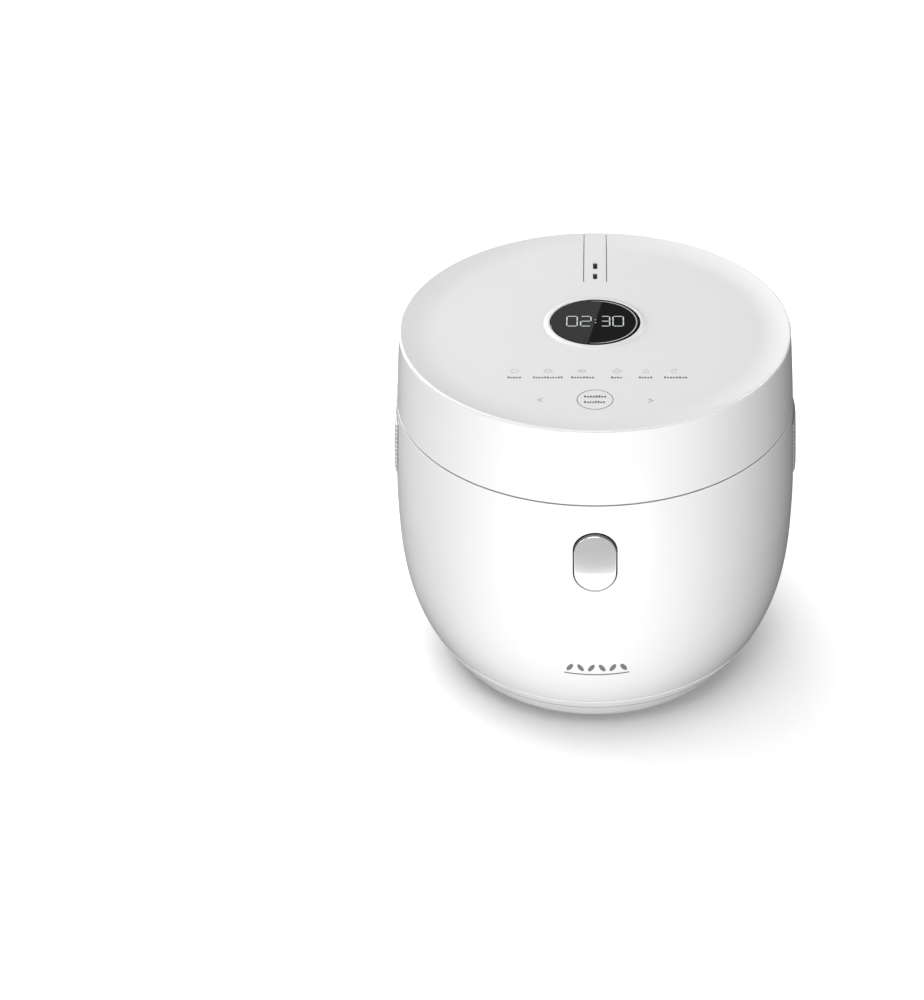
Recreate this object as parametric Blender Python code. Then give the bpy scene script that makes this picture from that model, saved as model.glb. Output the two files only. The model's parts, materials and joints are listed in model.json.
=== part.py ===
"""Digital rice cooker with a hinged lid: every sub-part as its own closed solid.

Metres, +Z up. The front, with the release button, faces -Y and the hinge is at +Y.
The origin is on the ground under the middle of the cooker's own box. The turned
body's axis stands AXIS_Y away from it, because only the hinge sticks out behind.
"""

import math

import bmesh
import bpy
from mathutils import Vector

# Whole body: a barrel shape, widest at mid height.
HEIGHT = 0.2369
BODY_R = 0.1280
LOWER_DROP = 0.0325
LOWER_POWER = 3.1
UPPER_DROP = 0.0080
UPPER_POWER = 1.4
WALL = 0.0025
GAP = 0.0003
STEPS = 40
INNER_STEPS = 32

# Heights of the seams that part the turned shells.
FOOT_H = 0.0035
BASE_SEAM_Z = 0.0290
LID_SEAM_Z = 0.1880
SEAM = 0.0008
LID_LOW_Z = LID_SEAM_Z + SEAM / 2
SHELL_TOP_Z = LID_SEAM_Z - SEAM / 2

# Underside: feet, vents and screws.
FOOT_R = 0.0085
FOOT_CIRCLE_R = 0.080
FOOT_STEM_R = 0.0025
FOOT_ANGLES = {"front_left": 240, "front_right": 300, "rear_left": 120, "rear_right": 60}
VENT_COUNT = 14
VENT_R = (0.040, 0.062)
VENT_WIDTH = 0.0045
SCREW_CIRCLE_R = 0.086
SCREW_ANGLES = (35, 145, 215, 325)
SCREW_HEAD_R = 0.0035
SCREW_SHANK_R = 0.0017
POST_R = 0.0045
POST_Z = (0.0125, 0.0480)
POST_RIB_LOW_Z = 0.0340
BOSS_R = 0.0060
BOSS_TOP_Z = 0.0120
SCREW_RECESS_Z = 0.0070
SCREW_LOW_Z = 0.0044
SCREW_SEAT_Z = 0.0066
SCREW_END_Z = 0.0320
FOOT_STEM_TOP_Z = 0.0078

# Pot, basket and what heats them.
POT_R = 0.1002
POT_WALL = 0.0020
POT_BOTTOM_Z = 0.0640
POT_CORNER_R = 0.014
POT_RIM_R = 0.1065
POT_RIM_Z = 0.1873
BASKET_R = 0.0955
BASKET_WALL = 0.0008
BASKET_BOTTOM_Z = 0.118
BASKET_HOLE_R = 0.0032
BASKET_HOLE_RINGS = ((0.024, 6), (0.050, 12))
BASKET_HOLE_Z = (0.110, 0.125)
WELL_R = 0.1032
WELL_WALL = 0.0010
WELL_FLOOR_Z = 0.0525
COLLAR_BORE_R = 0.1014
COLLAR_TOP_Z = 0.1870
COLLAR_LOW_Z = 0.1680
COLLAR_LIP_Z = 0.1765
POT_RIM_T = 0.0012
WELL_TOP_Z = 0.1752
WELL_HOLE_R = 0.0700
PLATE_R = 0.083
PLATE_TOP_Z = 0.0636
PLATE_LOW_Z = 0.0540
TUBE_CIRCLE_R = 0.062
TUBE_R = 0.0036
TUBE_Z = 0.0496
TUBE_GROOVE_HALF_W = 0.0042
TUBE_RIDGE_Z = 0.0462
SENSOR_CAP_R = 0.0175
SENSOR_STEM_R = 0.0050
SENSOR_BRACKET_Z = 0.0388
SENSOR_BRACKET_HALF_W = 0.0260
SENSOR_CAP_T = 0.0030
SENSOR_LOW_Z = 0.0366
SHEET_T = 0.0012
PLATE_SCREW_CIRCLE_R = 0.0765
PLATE_SCREW_Z = (0.0496, 0.0520, 0.0592)

# Electrics.
BOARD_Z = 0.0160
BOARD_T = 0.0016
INLET_Z = 0.046
INLET_FACE_Y = 0.124
INLET_SIZE = (0.032, 0.022)
INLET_CAVITY = (0.0245, 0.0165)
INLET_BACK_Y = 0.105
INLET_PIN_HALF = (0.0010, 0.0020)
INLET_PIN_Y = (0.0990, 0.1205)

# Release button and latch.
BUTTON_Z = 0.1489
BUTTON_W = 0.0254
BUTTON_H = 0.041
BUTTON_DISH = 0.0014
BUTTON_FLANGE_Y = -0.1212
LATCH_PIVOT_Y = -0.112
LATCH_PIVOT_Z = 0.168
LATCH_PIN_R = 0.0010
LATCH_T = 0.0024
LATCH_TAIL = 0.0225
LATCH_HOOK_REACH = 0.0017
LATCH_HOOK_Z = 0.1948
LATCH_HALF_W = 0.009
LATCH_SLOT_HALF_W = 0.0105
STRIKE_R = 0.0007
STRIKE_Y = -0.1098
FRAME_FLANGE_Z = 0.1928
BRACKET_Y = -0.1063

# Hinge.
HINGE_Y = 0.130
HINGE_Z = 0.186
HINGE_PIN_R = 0.0019
HINGE_BORE_R = 0.0022
KNUCKLE_R = 0.0045
HINGE_PLATE_Y = (0.1266, 0.1290)
HINGE_PLATE_Z = (0.162, 0.178)
LID_KNUCKLE_X = 0.0095
EAR_X = (0.018, 0.024)
HINGE_COVER_Y = 0.137
HINGE_COVER_TOP_Z = 0.181
HINGE_COVER_HALF_W = 0.030

# Side grips: a ribbed pad on each flank below the lid.
GRIP_LOW_Z = 0.143
GRIP_RIBS = 12
GRIP_PITCH = 0.003
GRIP_SPREAD_DEG = 12
GRIP_PROUD = 0.0012

# Lid.
DISH_Z = 0.2339
DISH_FLAT_R = 0.100
RIM_CREST_R = 0.118
PANEL_T = 0.0024
DISPLAY_Y = 0.0058
DISPLAY_R = 0.0280
BEZEL_R = 0.0325
BEZEL_H = 0.0012
VENT_STRIP_HALF_W = 0.0073
VENT_STRIP_FRONT_Y = 0.0575
VENT_STRIP_LOW_Z = 0.222
STEAM_Y = 0.0725
INNER_LID_R = 0.1000
INNER_LID_T = 0.0010
INNER_LID_EDGE_Z = 0.1912
PANEL_SEAM_Z = HEIGHT - 0.0021
FRAME_R = 0.1204
FRAME_T = 0.0020
FRAME_TOP_Z = 0.1998
FRAME_EDGE_Z = (0.1906, 0.1970)
DUCT_R = 0.0070
DUCT_BORE_R = 0.0042
DUCT_TOP_Z = 0.2038
STEAM_SLOTS_Y = ((0.0614, 0.0694), (0.0748, 0.0836))
STEAM_SLOT_HALF_W = 0.0014
CUP_HALF_W = 0.0068
CUP_Y = (0.0590, 0.0860)
CUP_LOW_Z = 0.2075
CUP_T = 0.0012
LID_BOARD_Z = (0.2285, 0.2300)
DISPLAY_BOARD_R = 0.030

AXIS_Y = -(HINGE_COVER_Y - BODY_R) / 2

FINISHES = {
    "white_gloss": ((0.90, 0.90, 0.90), 0.18, 0.0),
    "white_satin": ((0.86, 0.86, 0.86), 0.35, 0.0),
    "grey_plastic": ((0.45, 0.46, 0.47), 0.45, 0.0),
    "black_plastic": ((0.03, 0.03, 0.03), 0.40, 0.0),
    "black_glass": ((0.015, 0.015, 0.018), 0.06, 0.0),
    "satin_silver": ((0.72, 0.72, 0.73), 0.30, 0.6),
    "steel": ((0.60, 0.60, 0.62), 0.30, 1.0),
    "aluminium": ((0.75, 0.75, 0.77), 0.35, 1.0),
    "nonstick": ((0.06, 0.06, 0.065), 0.35, 0.0),
    "silicone": ((0.78, 0.78, 0.76), 0.55, 0.0),
    "rubber": ((0.05, 0.05, 0.05), 0.80, 0.0),
    "brass": ((0.72, 0.55, 0.28), 0.30, 1.0),
    "board_green": ((0.03, 0.20, 0.08), 0.50, 0.0),
    "wire_sleeve": ((0.55, 0.12, 0.08), 0.60, 0.0),
}

empties = {}


# Outlines and curves ------------------------------------------------------------


def wall_r(z):
    """Outer radius of the barrel-shaped body at height z."""
    waist = HEIGHT / 2
    if z < waist:
        return BODY_R - LOWER_DROP * ((waist - z) / waist) ** LOWER_POWER
    return BODY_R - UPPER_DROP * ((z - waist) / waist) ** UPPER_POWER


def dish_z(r):
    """Height of the lid's dished top at radius r."""
    if r < DISH_FLAT_R:
        return DISH_Z
    share = (r - DISH_FLAT_R) / (RIM_CREST_R - DISH_FLAT_R)
    return DISH_Z + (HEIGHT - DISH_Z) * share**2


def spaced(low, high, count):
    """Evenly spaced numbers from low to high, both included."""
    return [low + (high - low) * k / (count - 1) for k in range(count)]


def wall_points(low, high, count, inset=0.0):
    """Points of the body's outline, moved in by inset, from low to high."""
    return [(wall_r(z) - inset, z) for z in spaced(low, high, count)]


def arc(centre, radius, start_deg, end_deg, count):
    """Points of an arc about centre, both ends included."""
    points = []
    for degrees in spaced(start_deg, end_deg, count):
        angle = math.radians(degrees)
        points.append(
            (centre[0] + radius * math.cos(angle), centre[1] + radius * math.sin(angle))
        )
    return points


def circle(radius, count=24, centre=(0.0, 0.0)):
    return arc(centre, radius, 0, 360 - 360 / count, count)


def rectangle(low, high):
    return [(low[0], low[1]), (high[0], low[1]), (high[0], high[1]), (low[0], high[1])]


def stadium(width, height, centre, grow=0.0, count=9):
    """A tall outline with half-round ends."""
    radius = width / 2 + grow
    reach = height / 2 - width / 2
    top = arc((centre[0], centre[1] + reach), radius, 0, 180, count)
    bottom = arc((centre[0], centre[1] - reach), radius, 180, 360, count)
    return top + bottom


# Bodies -------------------------------------------------------------------------


def turned(profile, steps=STEPS, sweep_deg=360.0, start_deg=0.0):
    """Turn a closed outline of (radius, height) points about Z."""
    whole = sweep_deg >= 360.0
    bm = bmesh.new()
    columns = []
    for step in range(steps if whole else steps + 1):
        angle = math.radians(start_deg + sweep_deg * step / steps)
        columns.append(
            [
                bm.verts.new((r * math.cos(angle), r * math.sin(angle), z))
                for r, z in profile
            ]
        )
    pairs = list(zip(columns, columns[1:]))
    if whole:
        pairs.append((columns[-1], columns[0]))
    else:
        bm.faces.new(columns[0])
        bm.faces.new(columns[-1])
    for column, following in pairs:
        for k in range(len(profile)):
            m = (k + 1) % len(profile)
            if profile[k][0] or profile[m][0]:
                bm.faces.new((column[k], column[m], following[m], following[k]))
    bmesh.ops.remove_doubles(bm, verts=bm.verts, dist=1e-7)
    bmesh.ops.recalc_face_normals(bm, faces=bm.faces)
    return bm


def prism(outline, low, high, along="Z"):
    """Pull a flat outline from low to high. Along Y it is (x, z), along X (y, z)."""
    order = {
        "Z": lambda a, b, h: (a, b, h),
        "Y": lambda a, b, h: (a, h, b),
        "X": lambda a, b, h: (h, a, b),
    }[along]
    bm = bmesh.new()
    ends = []
    for height in (low, high):
        ends.append([bm.verts.new(order(a, b, height)) for a, b in outline])
        bm.faces.new(ends[-1])
    count = len(outline)
    for k in range(count):
        m = (k + 1) % count
        bm.faces.new((ends[0][k], ends[0][m], ends[1][m], ends[1][k]))
    bmesh.ops.recalc_face_normals(bm, faces=bm.faces)
    return bm


def box(low, high):
    return prism(rectangle(low[:2], high[:2]), low[2], high[2])


def rod(radius, low, high, at, along="Z", count=16):
    """A round bar between low and high. at is its centre in the other two axes."""
    return prism(circle(radius, count, at), low, high, along)


def coil(radius, wire_r, low, high, turns, at, along="Z", per_turn=8, sides=4):
    """A helical spring as one closed tube about the line through at."""
    swap = {
        "Z": lambda a, b, h: Vector((a, b, h)),
        "Y": lambda a, b, h: Vector((a, h, b)),
        "X": lambda a, b, h: Vector((h, a, b)),
    }[along]
    bm = bmesh.new()
    count = turns * per_turn
    rings = []
    for step in range(count + 1):
        angle = 2 * math.pi * step / per_turn
        height = low + wire_r + (high - low - 2 * wire_r) * step / count
        ring = []
        for side in range(sides):
            turn = 2 * math.pi * side / sides
            reach = radius + wire_r * math.cos(turn)
            ring.append(
                bm.verts.new(
                    swap(
                        at[0] + reach * math.cos(angle),
                        at[1] + reach * math.sin(angle),
                        height + wire_r * math.sin(turn),
                    )
                )
            )
        rings.append(ring)
    bm.faces.new(rings[0])
    bm.faces.new(rings[-1])
    for ring, following in zip(rings, rings[1:]):
        for side in range(sides):
            m = (side + 1) % sides
            bm.faces.new((ring[side], ring[m], following[m], following[side]))
    bmesh.ops.recalc_face_normals(bm, faces=bm.faces)
    return bm


def gathered(bodies):
    """Several bodies in one mesh, for a tool that cuts or adds them all at once."""
    bm = bmesh.new()
    for body in bodies:
        mesh = bpy.data.meshes.new("part_of_tool")
        body.to_mesh(mesh)
        body.free()
        bm.from_mesh(mesh)
        bpy.data.meshes.remove(mesh)
    return bm


def moved(bm, x=0.0, y=0.0, z=0.0, turn_deg=0.0):
    """Turn a body about Z, then shift it."""
    turn = math.radians(turn_deg)
    for vert in bm.verts:
        a, b, c = vert.co
        vert.co = (
            a * math.cos(turn) - b * math.sin(turn) + x,
            a * math.sin(turn) + b * math.cos(turn) + y,
            c + z,
        )
    return bm


# Objects ------------------------------------------------------------------------


def finish_of(name, finish):
    """The piece's own material."""
    colour, roughness, metallic = FINISHES[finish]
    material = bpy.data.materials.new(f"{name}_{finish}")
    material.use_nodes = True
    shader = material.node_tree.nodes["Principled BSDF"]
    shader.inputs["Base Color"].default_value = (*colour, 1.0)
    shader.inputs["Roughness"].default_value = roughness
    shader.inputs["Metallic"].default_value = metallic
    return material


def pivot(name, at, parent=None):
    """An empty that marks a body's axis. at is measured from the cooker's axis."""
    empty = bpy.data.objects.new(name, None)
    empty.empty_display_size = 0.02
    bpy.context.collection.objects.link(empty)
    if parent:
        empty.parent = empties[parent][0]
        empty.location = Vector(at) - empties[parent][1]
    else:
        empty.location = Vector(at)
    empties[name] = (empty, Vector(at) if parent else Vector((0.0, 0.0, 0.0)))


def as_object(bm, name, parent):
    """Put a body in the scene, its origin at its parent empty."""
    empty, centre = empties[parent]
    bmesh.ops.translate(bm, verts=bm.verts, vec=-centre)
    mesh = bpy.data.meshes.new(name)
    bm.to_mesh(mesh)
    bm.free()
    mesh.shade_smooth()
    mesh.set_sharp_from_angle(angle=math.radians(35))
    item = bpy.data.objects.new(name, mesh)
    item.parent = empty
    bpy.context.collection.objects.link(item)
    return item


def piece(bm, name, finish, parent="cooker"):
    item = as_object(bm, name, parent)
    item.data.materials.append(finish_of(name, finish))
    item["parent_pivot"] = parent
    return item


def shaped(item, operation, bm, label):
    """Cut, add or intersect a piece with a hidden tool."""
    tool = as_object(bm, f"{item.name}_{label}", item["parent_pivot"])
    tool.hide_render = True
    tool.display_type = "WIRE"
    modifier = item.modifiers.new(label, "BOOLEAN")
    modifier.operation = operation
    modifier.solver = "EXACT"
    modifier.object = tool


def cut(item, bm, label):
    shaped(item, "DIFFERENCE", bm, label)


def add(item, bm, label):
    shaped(item, "UNION", bm, label)


# Housing ------------------------------------------------------------------------


def outer_shell():
    """The one-piece white wall between the base seam and the lid seam."""
    low = BASE_SEAM_Z + SEAM / 2
    outside = wall_points(low, SHELL_TOP_Z, 8)
    inside = wall_points(low, SHELL_TOP_Z, 6, WALL)[::-1]
    shell = piece(turned(outside + inside), "outer_shell", "white_gloss")

    posts = []
    holes = []
    for angle in SCREW_ANGLES:
        rib_end = wall_r(POST_RIB_LOW_Z) - WALL / 2
        rib = box((SCREW_CIRCLE_R, -0.0012, POST_RIB_LOW_Z), (rib_end, 0.0012, POST_Z[1]))
        post = rod(POST_R, *POST_Z, (SCREW_CIRCLE_R, 0.0), count=12)
        posts.append((moved(rib, turn_deg=angle), moved(post, turn_deg=angle)))
        hole = rod(SCREW_SHANK_R + GAP, 0.010, POST_RIB_LOW_Z, (SCREW_CIRCLE_R, 0.0), count=12)
        holes.append(moved(hole, turn_deg=angle))
    add(shell, gathered([rib for rib, _ in posts]), "post_ribs")
    add(shell, gathered([post for _, post in posts]), "screw_posts")
    cut(shell, gathered(holes), "post_holes")

    window = stadium(BUTTON_W, BUTTON_H, (0.0, BUTTON_Z), grow=0.0004)
    cut(shell, prism(window, -0.140, -0.110, "Y"), "button_window")
    width, height = INLET_SIZE
    opening = rectangle(
        (-width / 2 - GAP, INLET_Z - height / 2 - GAP),
        (width / 2 + GAP, INLET_Z + height / 2 + GAP),
    )
    cut(shell, prism(opening, 0.110, 0.140, "Y"), "inlet_opening")


def base_cover():
    """The bottom shell, with vents, screw recesses and holes for the feet."""
    top = BASE_SEAM_Z - SEAM / 2
    edge_r = wall_r(0.006)
    outside = [(0.0, FOOT_H), (edge_r - 0.008, FOOT_H), (edge_r - 0.002, FOOT_H + 0.0008)]
    outside += wall_points(0.006, top, 4)
    inside = wall_points(0.010, top, 3, WALL)[::-1]
    inside += [(edge_r - 0.008, FOOT_H + WALL), (0.0, FOOT_H + WALL)]
    cover = piece(turned(outside + inside), "base_cover", "white_satin")

    bosses = []
    recesses = []
    for angle in SCREW_ANGLES:
        at = (SCREW_CIRCLE_R, 0.0)
        boss = rod(BOSS_R, FOOT_H + WALL / 2, BOSS_TOP_Z, at, count=12)
        bosses.append(moved(boss, turn_deg=angle))
        shank = rod(SCREW_SHANK_R + GAP, 0.0, 0.014, at, count=12)
        recesses.append(moved(shank, turn_deg=angle))
    add(cover, gathered(bosses), "screw_bosses")
    cut(cover, gathered(recesses), "screw_holes")
    heads = []
    for angle in SCREW_ANGLES:
        head = rod(SCREW_HEAD_R + 0.0006, 0.0, SCREW_RECESS_Z, (SCREW_CIRCLE_R, 0.0), count=12)
        heads.append(moved(head, turn_deg=angle))
    cut(cover, gathered(heads), "screw_recesses")

    slots = []
    for k in range(VENT_COUNT):
        slot = box((VENT_R[0], -VENT_WIDTH / 2, 0.0), (VENT_R[1], VENT_WIDTH / 2, 0.010))
        slots.append(moved(slot, turn_deg=360 * k / VENT_COUNT))
    for angle in FOOT_ANGLES.values():
        hole = rod(FOOT_STEM_R + GAP, 0.0, 0.010, (FOOT_CIRCLE_R, 0.0), count=12)
        slots.append(moved(hole, turn_deg=angle))
    cut(cover, gathered(slots), "vents")


def feet():
    """Push-in rubber feet, each with a stem through the base cover."""
    top = FOOT_H - GAP
    profile = [
        (0.0, 0.0),
        (FOOT_R - 0.0008, 0.0),
        (FOOT_R, 0.0008),
        (FOOT_R, top),
        (FOOT_STEM_R, top),
        (FOOT_STEM_R, FOOT_STEM_TOP_Z),
        (0.0, FOOT_STEM_TOP_Z),
    ]
    for place, angle in FOOT_ANGLES.items():
        foot = moved(turned(profile, 12), x=FOOT_CIRCLE_R)
        piece(moved(foot, turn_deg=angle), f"foot_{place}", "rubber")


def base_screws():
    """Pan-head screws with a cross recess, one under each post."""
    profile = [
        (0.0, SCREW_LOW_Z),
        (0.0026, SCREW_LOW_Z),
        (SCREW_HEAD_R, SCREW_LOW_Z + 0.0008),
        (SCREW_HEAD_R, SCREW_SEAT_Z),
        (SCREW_SHANK_R, SCREW_SEAT_Z),
        (SCREW_SHANK_R, SCREW_END_Z - 0.0020),
        (0.0, SCREW_END_Z),
    ]
    for number, angle in enumerate(SCREW_ANGLES, 1):
        body = moved(turned(profile, 12), x=SCREW_CIRCLE_R)
        screw = piece(moved(body, turn_deg=angle), f"base_screw_{number}", "steel")
        slot = box((-0.0018, -0.0004, SCREW_LOW_Z - 0.0004), (0.0018, 0.0004, SCREW_LOW_Z + 0.0010))
        slot = moved(slot, x=SCREW_CIRCLE_R)
        cut(screw, moved(slot, turn_deg=angle), "drive_slot")


def upper_collar():
    """The deck between the shell and the pot, which carries the pot's rim."""
    inset = WALL + GAP
    profile = wall_points(COLLAR_LOW_Z, COLLAR_TOP_Z, 3, inset)
    profile += [(COLLAR_BORE_R + 0.0025, COLLAR_TOP_Z)]
    profile += arc((COLLAR_BORE_R + 0.0015, COLLAR_TOP_Z - 0.0015), 0.0015, 90, 180, 3)
    profile += [
        (COLLAR_BORE_R, COLLAR_LIP_Z),
        (COLLAR_BORE_R + 0.0018, COLLAR_LIP_Z),
        (COLLAR_BORE_R + 0.0025, COLLAR_TOP_Z - 0.0025),
        (0.1178, COLLAR_TOP_Z - 0.0025),
        (0.1196, COLLAR_LOW_Z),
    ]
    collar = piece(turned(profile), "upper_collar", "grey_plastic")
    half_w = LATCH_SLOT_HALF_W
    slot = box((-half_w, -0.1205, 0.176), (half_w, -0.1090, 0.190))
    cut(collar, slot, "latch_slot")
    cut(collar, box((-0.019, -0.130, 0.160), (0.019, -0.112, 0.1755)), "button_room")


def side_grips():
    """Ribbed pads that follow the wall on both flanks."""
    profile = [
        (wall_r(z) + GAP, z)
        for z in spaced(GRIP_LOW_Z, GRIP_LOW_Z + GRIP_RIBS * GRIP_PITCH, 4)[::-1]
    ]
    for rib in range(GRIP_RIBS):
        for share, proud in ((0.1, 0.3), (0.5, 1.0)):
            z = GRIP_LOW_Z + (rib + share) * GRIP_PITCH
            profile.append((wall_r(z) + GAP + GRIP_PROUD * proud, z))
    for name, facing in (("side_grip_right", 0), ("side_grip_left", 180)):
        start = facing - GRIP_SPREAD_DEG
        body = turned(profile, 4, 2 * GRIP_SPREAD_DEG, start)
        piece(body, name, "white_satin")


# Pot and heater -----------------------------------------------------------------


def vessel(radius, wall, bottom_z, corner_r, top):
    """Outline of an open round vessel. top closes it at the rim, outside first."""
    outer_corner = (radius - corner_r, bottom_z + corner_r)
    profile = [(0.0, bottom_z)]
    profile += arc(outer_corner, corner_r, -90, 0, 5)
    profile += top
    profile += arc(outer_corner, corner_r - wall, 0, -90, 5)
    profile.append((0.0, bottom_z + wall))
    return profile


def inner_pot():
    """Removable cooking pot with a rolled rim that lies on the collar."""
    high = POT_RIM_Z + POT_RIM_T
    rim = [
        (POT_R, POT_RIM_Z),
        (POT_RIM_R - 0.0006, POT_RIM_Z),
        (POT_RIM_R, POT_RIM_Z + 0.0006),
        (POT_RIM_R - 0.0006, high),
        (POT_R - 0.0004, high),
        (POT_R - POT_WALL, high - 0.0014),
    ]
    profile = vessel(POT_R, POT_WALL, POT_BOTTOM_Z, POT_CORNER_R, rim)
    piece(turned(profile, INNER_STEPS), "inner_pot", "nonstick")


def rice_basket():
    """Perforated insert that hangs on the pot's rim."""
    low = POT_RIM_Z + POT_RIM_T + GAP
    rim = [
        (BASKET_R, low),
        (POT_RIM_R - 0.0025, low),
        (POT_RIM_R - 0.0025, low + BASKET_WALL),
        (BASKET_R - BASKET_WALL, low + BASKET_WALL),
    ]
    profile = vessel(BASKET_R, BASKET_WALL, BASKET_BOTTOM_Z, 0.012, rim)
    basket = piece(turned(profile, INNER_STEPS), "rice_basket", "steel")
    holes = []
    for circle_r, count in BASKET_HOLE_RINGS:
        for k in range(count):
            hole = rod(BASKET_HOLE_R, *BASKET_HOLE_Z, (circle_r, 0.0), count=6)
            holes.append(moved(hole, turn_deg=360 * k / count))
    cut(basket, gathered(holes), "drain_holes")


def pot_well():
    """Pressed cup around the pot. Its floor carries the heating plate."""
    inner_r = WELL_R - WELL_WALL
    corner_r = 0.008
    corner = (WELL_R - corner_r, WELL_FLOOR_Z + corner_r)
    profile = [(WELL_HOLE_R, WELL_FLOOR_Z)]
    profile += arc(corner, corner_r, -90, 0, 4)
    profile += [(WELL_R, WELL_TOP_Z), (inner_r, WELL_TOP_Z)]
    profile += arc(corner, corner_r - WELL_WALL, 0, -90, 4)
    profile += [(WELL_HOLE_R, WELL_FLOOR_Z + WELL_WALL)]
    well = piece(turned(profile, INNER_STEPS), "pot_well", "aluminium")
    cut(well, plate_screw_bodies(SCREW_SHANK_R + GAP, 0.050, 0.056), "screw_holes")


def plate_screw_bodies(radius, low, high):
    bodies = []
    for k in range(3):
        body = rod(radius, low, high, (PLATE_SCREW_CIRCLE_R, 0.0), count=12)
        bodies.append(moved(body, turn_deg=30 + 120 * k))
    return gathered(bodies)


def heating_plate():
    """Cast plate under the pot, with a groove below for the heating tube."""
    inner = TUBE_CIRCLE_R - TUBE_GROOVE_HALF_W
    outer = TUBE_CIRCLE_R + TUBE_GROOVE_HALF_W
    lip = 0.0013
    profile = [
        (SENSOR_CAP_R + 0.0010, PLATE_LOW_Z - 0.0002),
        (inner - lip, PLATE_LOW_Z - 0.0002),
        (inner - lip, TUBE_RIDGE_Z),
        (inner, TUBE_RIDGE_Z),
        (inner, PLATE_LOW_Z),
        (outer, PLATE_LOW_Z),
        (outer, TUBE_RIDGE_Z),
        (outer + lip, TUBE_RIDGE_Z),
        (outer + lip, PLATE_LOW_Z),
        (PLATE_R, PLATE_LOW_Z),
        (PLATE_R, 0.0580),
        (PLATE_R - 0.0020, 0.0610),
        (PLATE_R - 0.0038, PLATE_TOP_Z),
        (SENSOR_CAP_R + 0.0010, PLATE_TOP_Z),
    ]
    plate = piece(turned(profile, INNER_STEPS), "heating_plate", "aluminium")
    cut(plate, plate_screw_bodies(SCREW_SHANK_R + GAP, 0.050, 0.0598), "screw_holes")


def heating_tube():
    """Sheathed element in the plate's groove: most of a circle."""
    section = [(TUBE_CIRCLE_R + a, TUBE_Z + b) for a, b in circle(TUBE_R, 6)]
    body = turned(section, 28, sweep_deg=310, start_deg=115)
    piece(body, "heating_tube", "steel")


def plate_screws():
    profile = [
        (0.0, PLATE_SCREW_Z[0]),
        (SCREW_HEAD_R, PLATE_SCREW_Z[0]),
        (SCREW_HEAD_R, PLATE_SCREW_Z[1]),
        (SCREW_SHANK_R, PLATE_SCREW_Z[1]),
        (SCREW_SHANK_R, PLATE_SCREW_Z[2]),
        (0.0, PLATE_SCREW_Z[2]),
    ]
    for k in range(3):
        body = moved(turned(profile, 12), x=PLATE_SCREW_CIRCLE_R)
        piece(moved(body, turn_deg=30 + 120 * k), f"plate_screw_{k + 1}", "steel")


def temperature_sensor():
    """Sprung thermistor cap that the pot's underside presses down."""
    pivot("sensor_slide", (0.0, 0.0, PLATE_TOP_Z), "cooker")
    profile = [
        (0.0, PLATE_TOP_Z),
        (SENSOR_CAP_R - 0.0010, PLATE_TOP_Z),
        (SENSOR_CAP_R, PLATE_TOP_Z - 0.0010),
        (SENSOR_CAP_R, PLATE_TOP_Z - SENSOR_CAP_T),
        (SENSOR_STEM_R, PLATE_TOP_Z - SENSOR_CAP_T),
        (SENSOR_STEM_R, SENSOR_LOW_Z),
        (0.0, SENSOR_LOW_Z),
    ]
    piece(turned(profile, 20), "sensor_button", "aluminium", "sensor_slide")
    high = PLATE_TOP_Z - SENSOR_CAP_T - GAP
    low = SENSOR_BRACKET_Z + SHEET_T + GAP
    piece(coil(0.0085, 0.0006, low, high, 5, (0.0, 0.0)), "sensor_spring", "steel")

    depth = 0.0075
    top = PLATE_LOW_Z - 0.0006
    outer = SENSOR_BRACKET_HALF_W
    inner = outer - SHEET_T
    outline = [
        (-outer, SENSOR_BRACKET_Z),
        (outer, SENSOR_BRACKET_Z),
        (outer, top),
        (inner, top),
        (inner, SENSOR_BRACKET_Z + SHEET_T),
        (-inner, SENSOR_BRACKET_Z + SHEET_T),
        (-inner, top),
        (-outer, top),
    ]
    bracket = piece(prism(outline, -depth, depth, "Y"), "sensor_bracket", "steel")
    cut(bracket, rod(SENSOR_STEM_R + 0.0005, 0.035, 0.045, (0.0, 0.0)), "stem_hole")


# Electrics ----------------------------------------------------------------------


def power_inlet():
    """Appliance inlet with chamfered cavity and three blade contacts."""
    width, height = INLET_SIZE
    outline = rectangle(
        (-width / 2, INLET_Z - height / 2), (width / 2, INLET_Z + height / 2)
    )
    inlet = piece(
        prism(outline, INLET_BACK_Y, INLET_FACE_Y, "Y"), "power_inlet", "black_plastic"
    )
    half_w, half_h = INLET_CAVITY[0] / 2, INLET_CAVITY[1] / 2
    chamfer = 0.005
    cavity = [
        (-half_w, INLET_Z - half_h),
        (half_w, INLET_Z - half_h),
        (half_w, INLET_Z + half_h - chamfer),
        (half_w - chamfer, INLET_Z + half_h),
        (-half_w + chamfer, INLET_Z + half_h),
        (-half_w, INLET_Z + half_h - chamfer),
    ]
    cut(inlet, prism(cavity, INLET_BACK_Y + 0.0025, 0.130, "Y"), "cavity")

    blades = {
        "live": (-0.007, INLET_Z - 0.002),
        "neutral": (0.007, INLET_Z - 0.002),
        "earth": (0.0, INLET_Z + 0.002),
    }
    slots = []
    for name, (x, z) in blades.items():
        half_x, half_z = INLET_PIN_HALF
        blade = rectangle((x - half_x, z - half_z), (x + half_x, z + half_z))
        body = prism(blade, *INLET_PIN_Y, "Y")
        piece(body, f"inlet_pin_{name}", "brass")
        low = (x - half_x - GAP, z - half_z - GAP)
        slot = rectangle(low, (x + half_x + GAP, z + half_z + GAP))
        slots.append(prism(slot, 0.100, 0.110, "Y"))
    cut(inlet, gathered(slots), "pin_slots")


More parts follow.
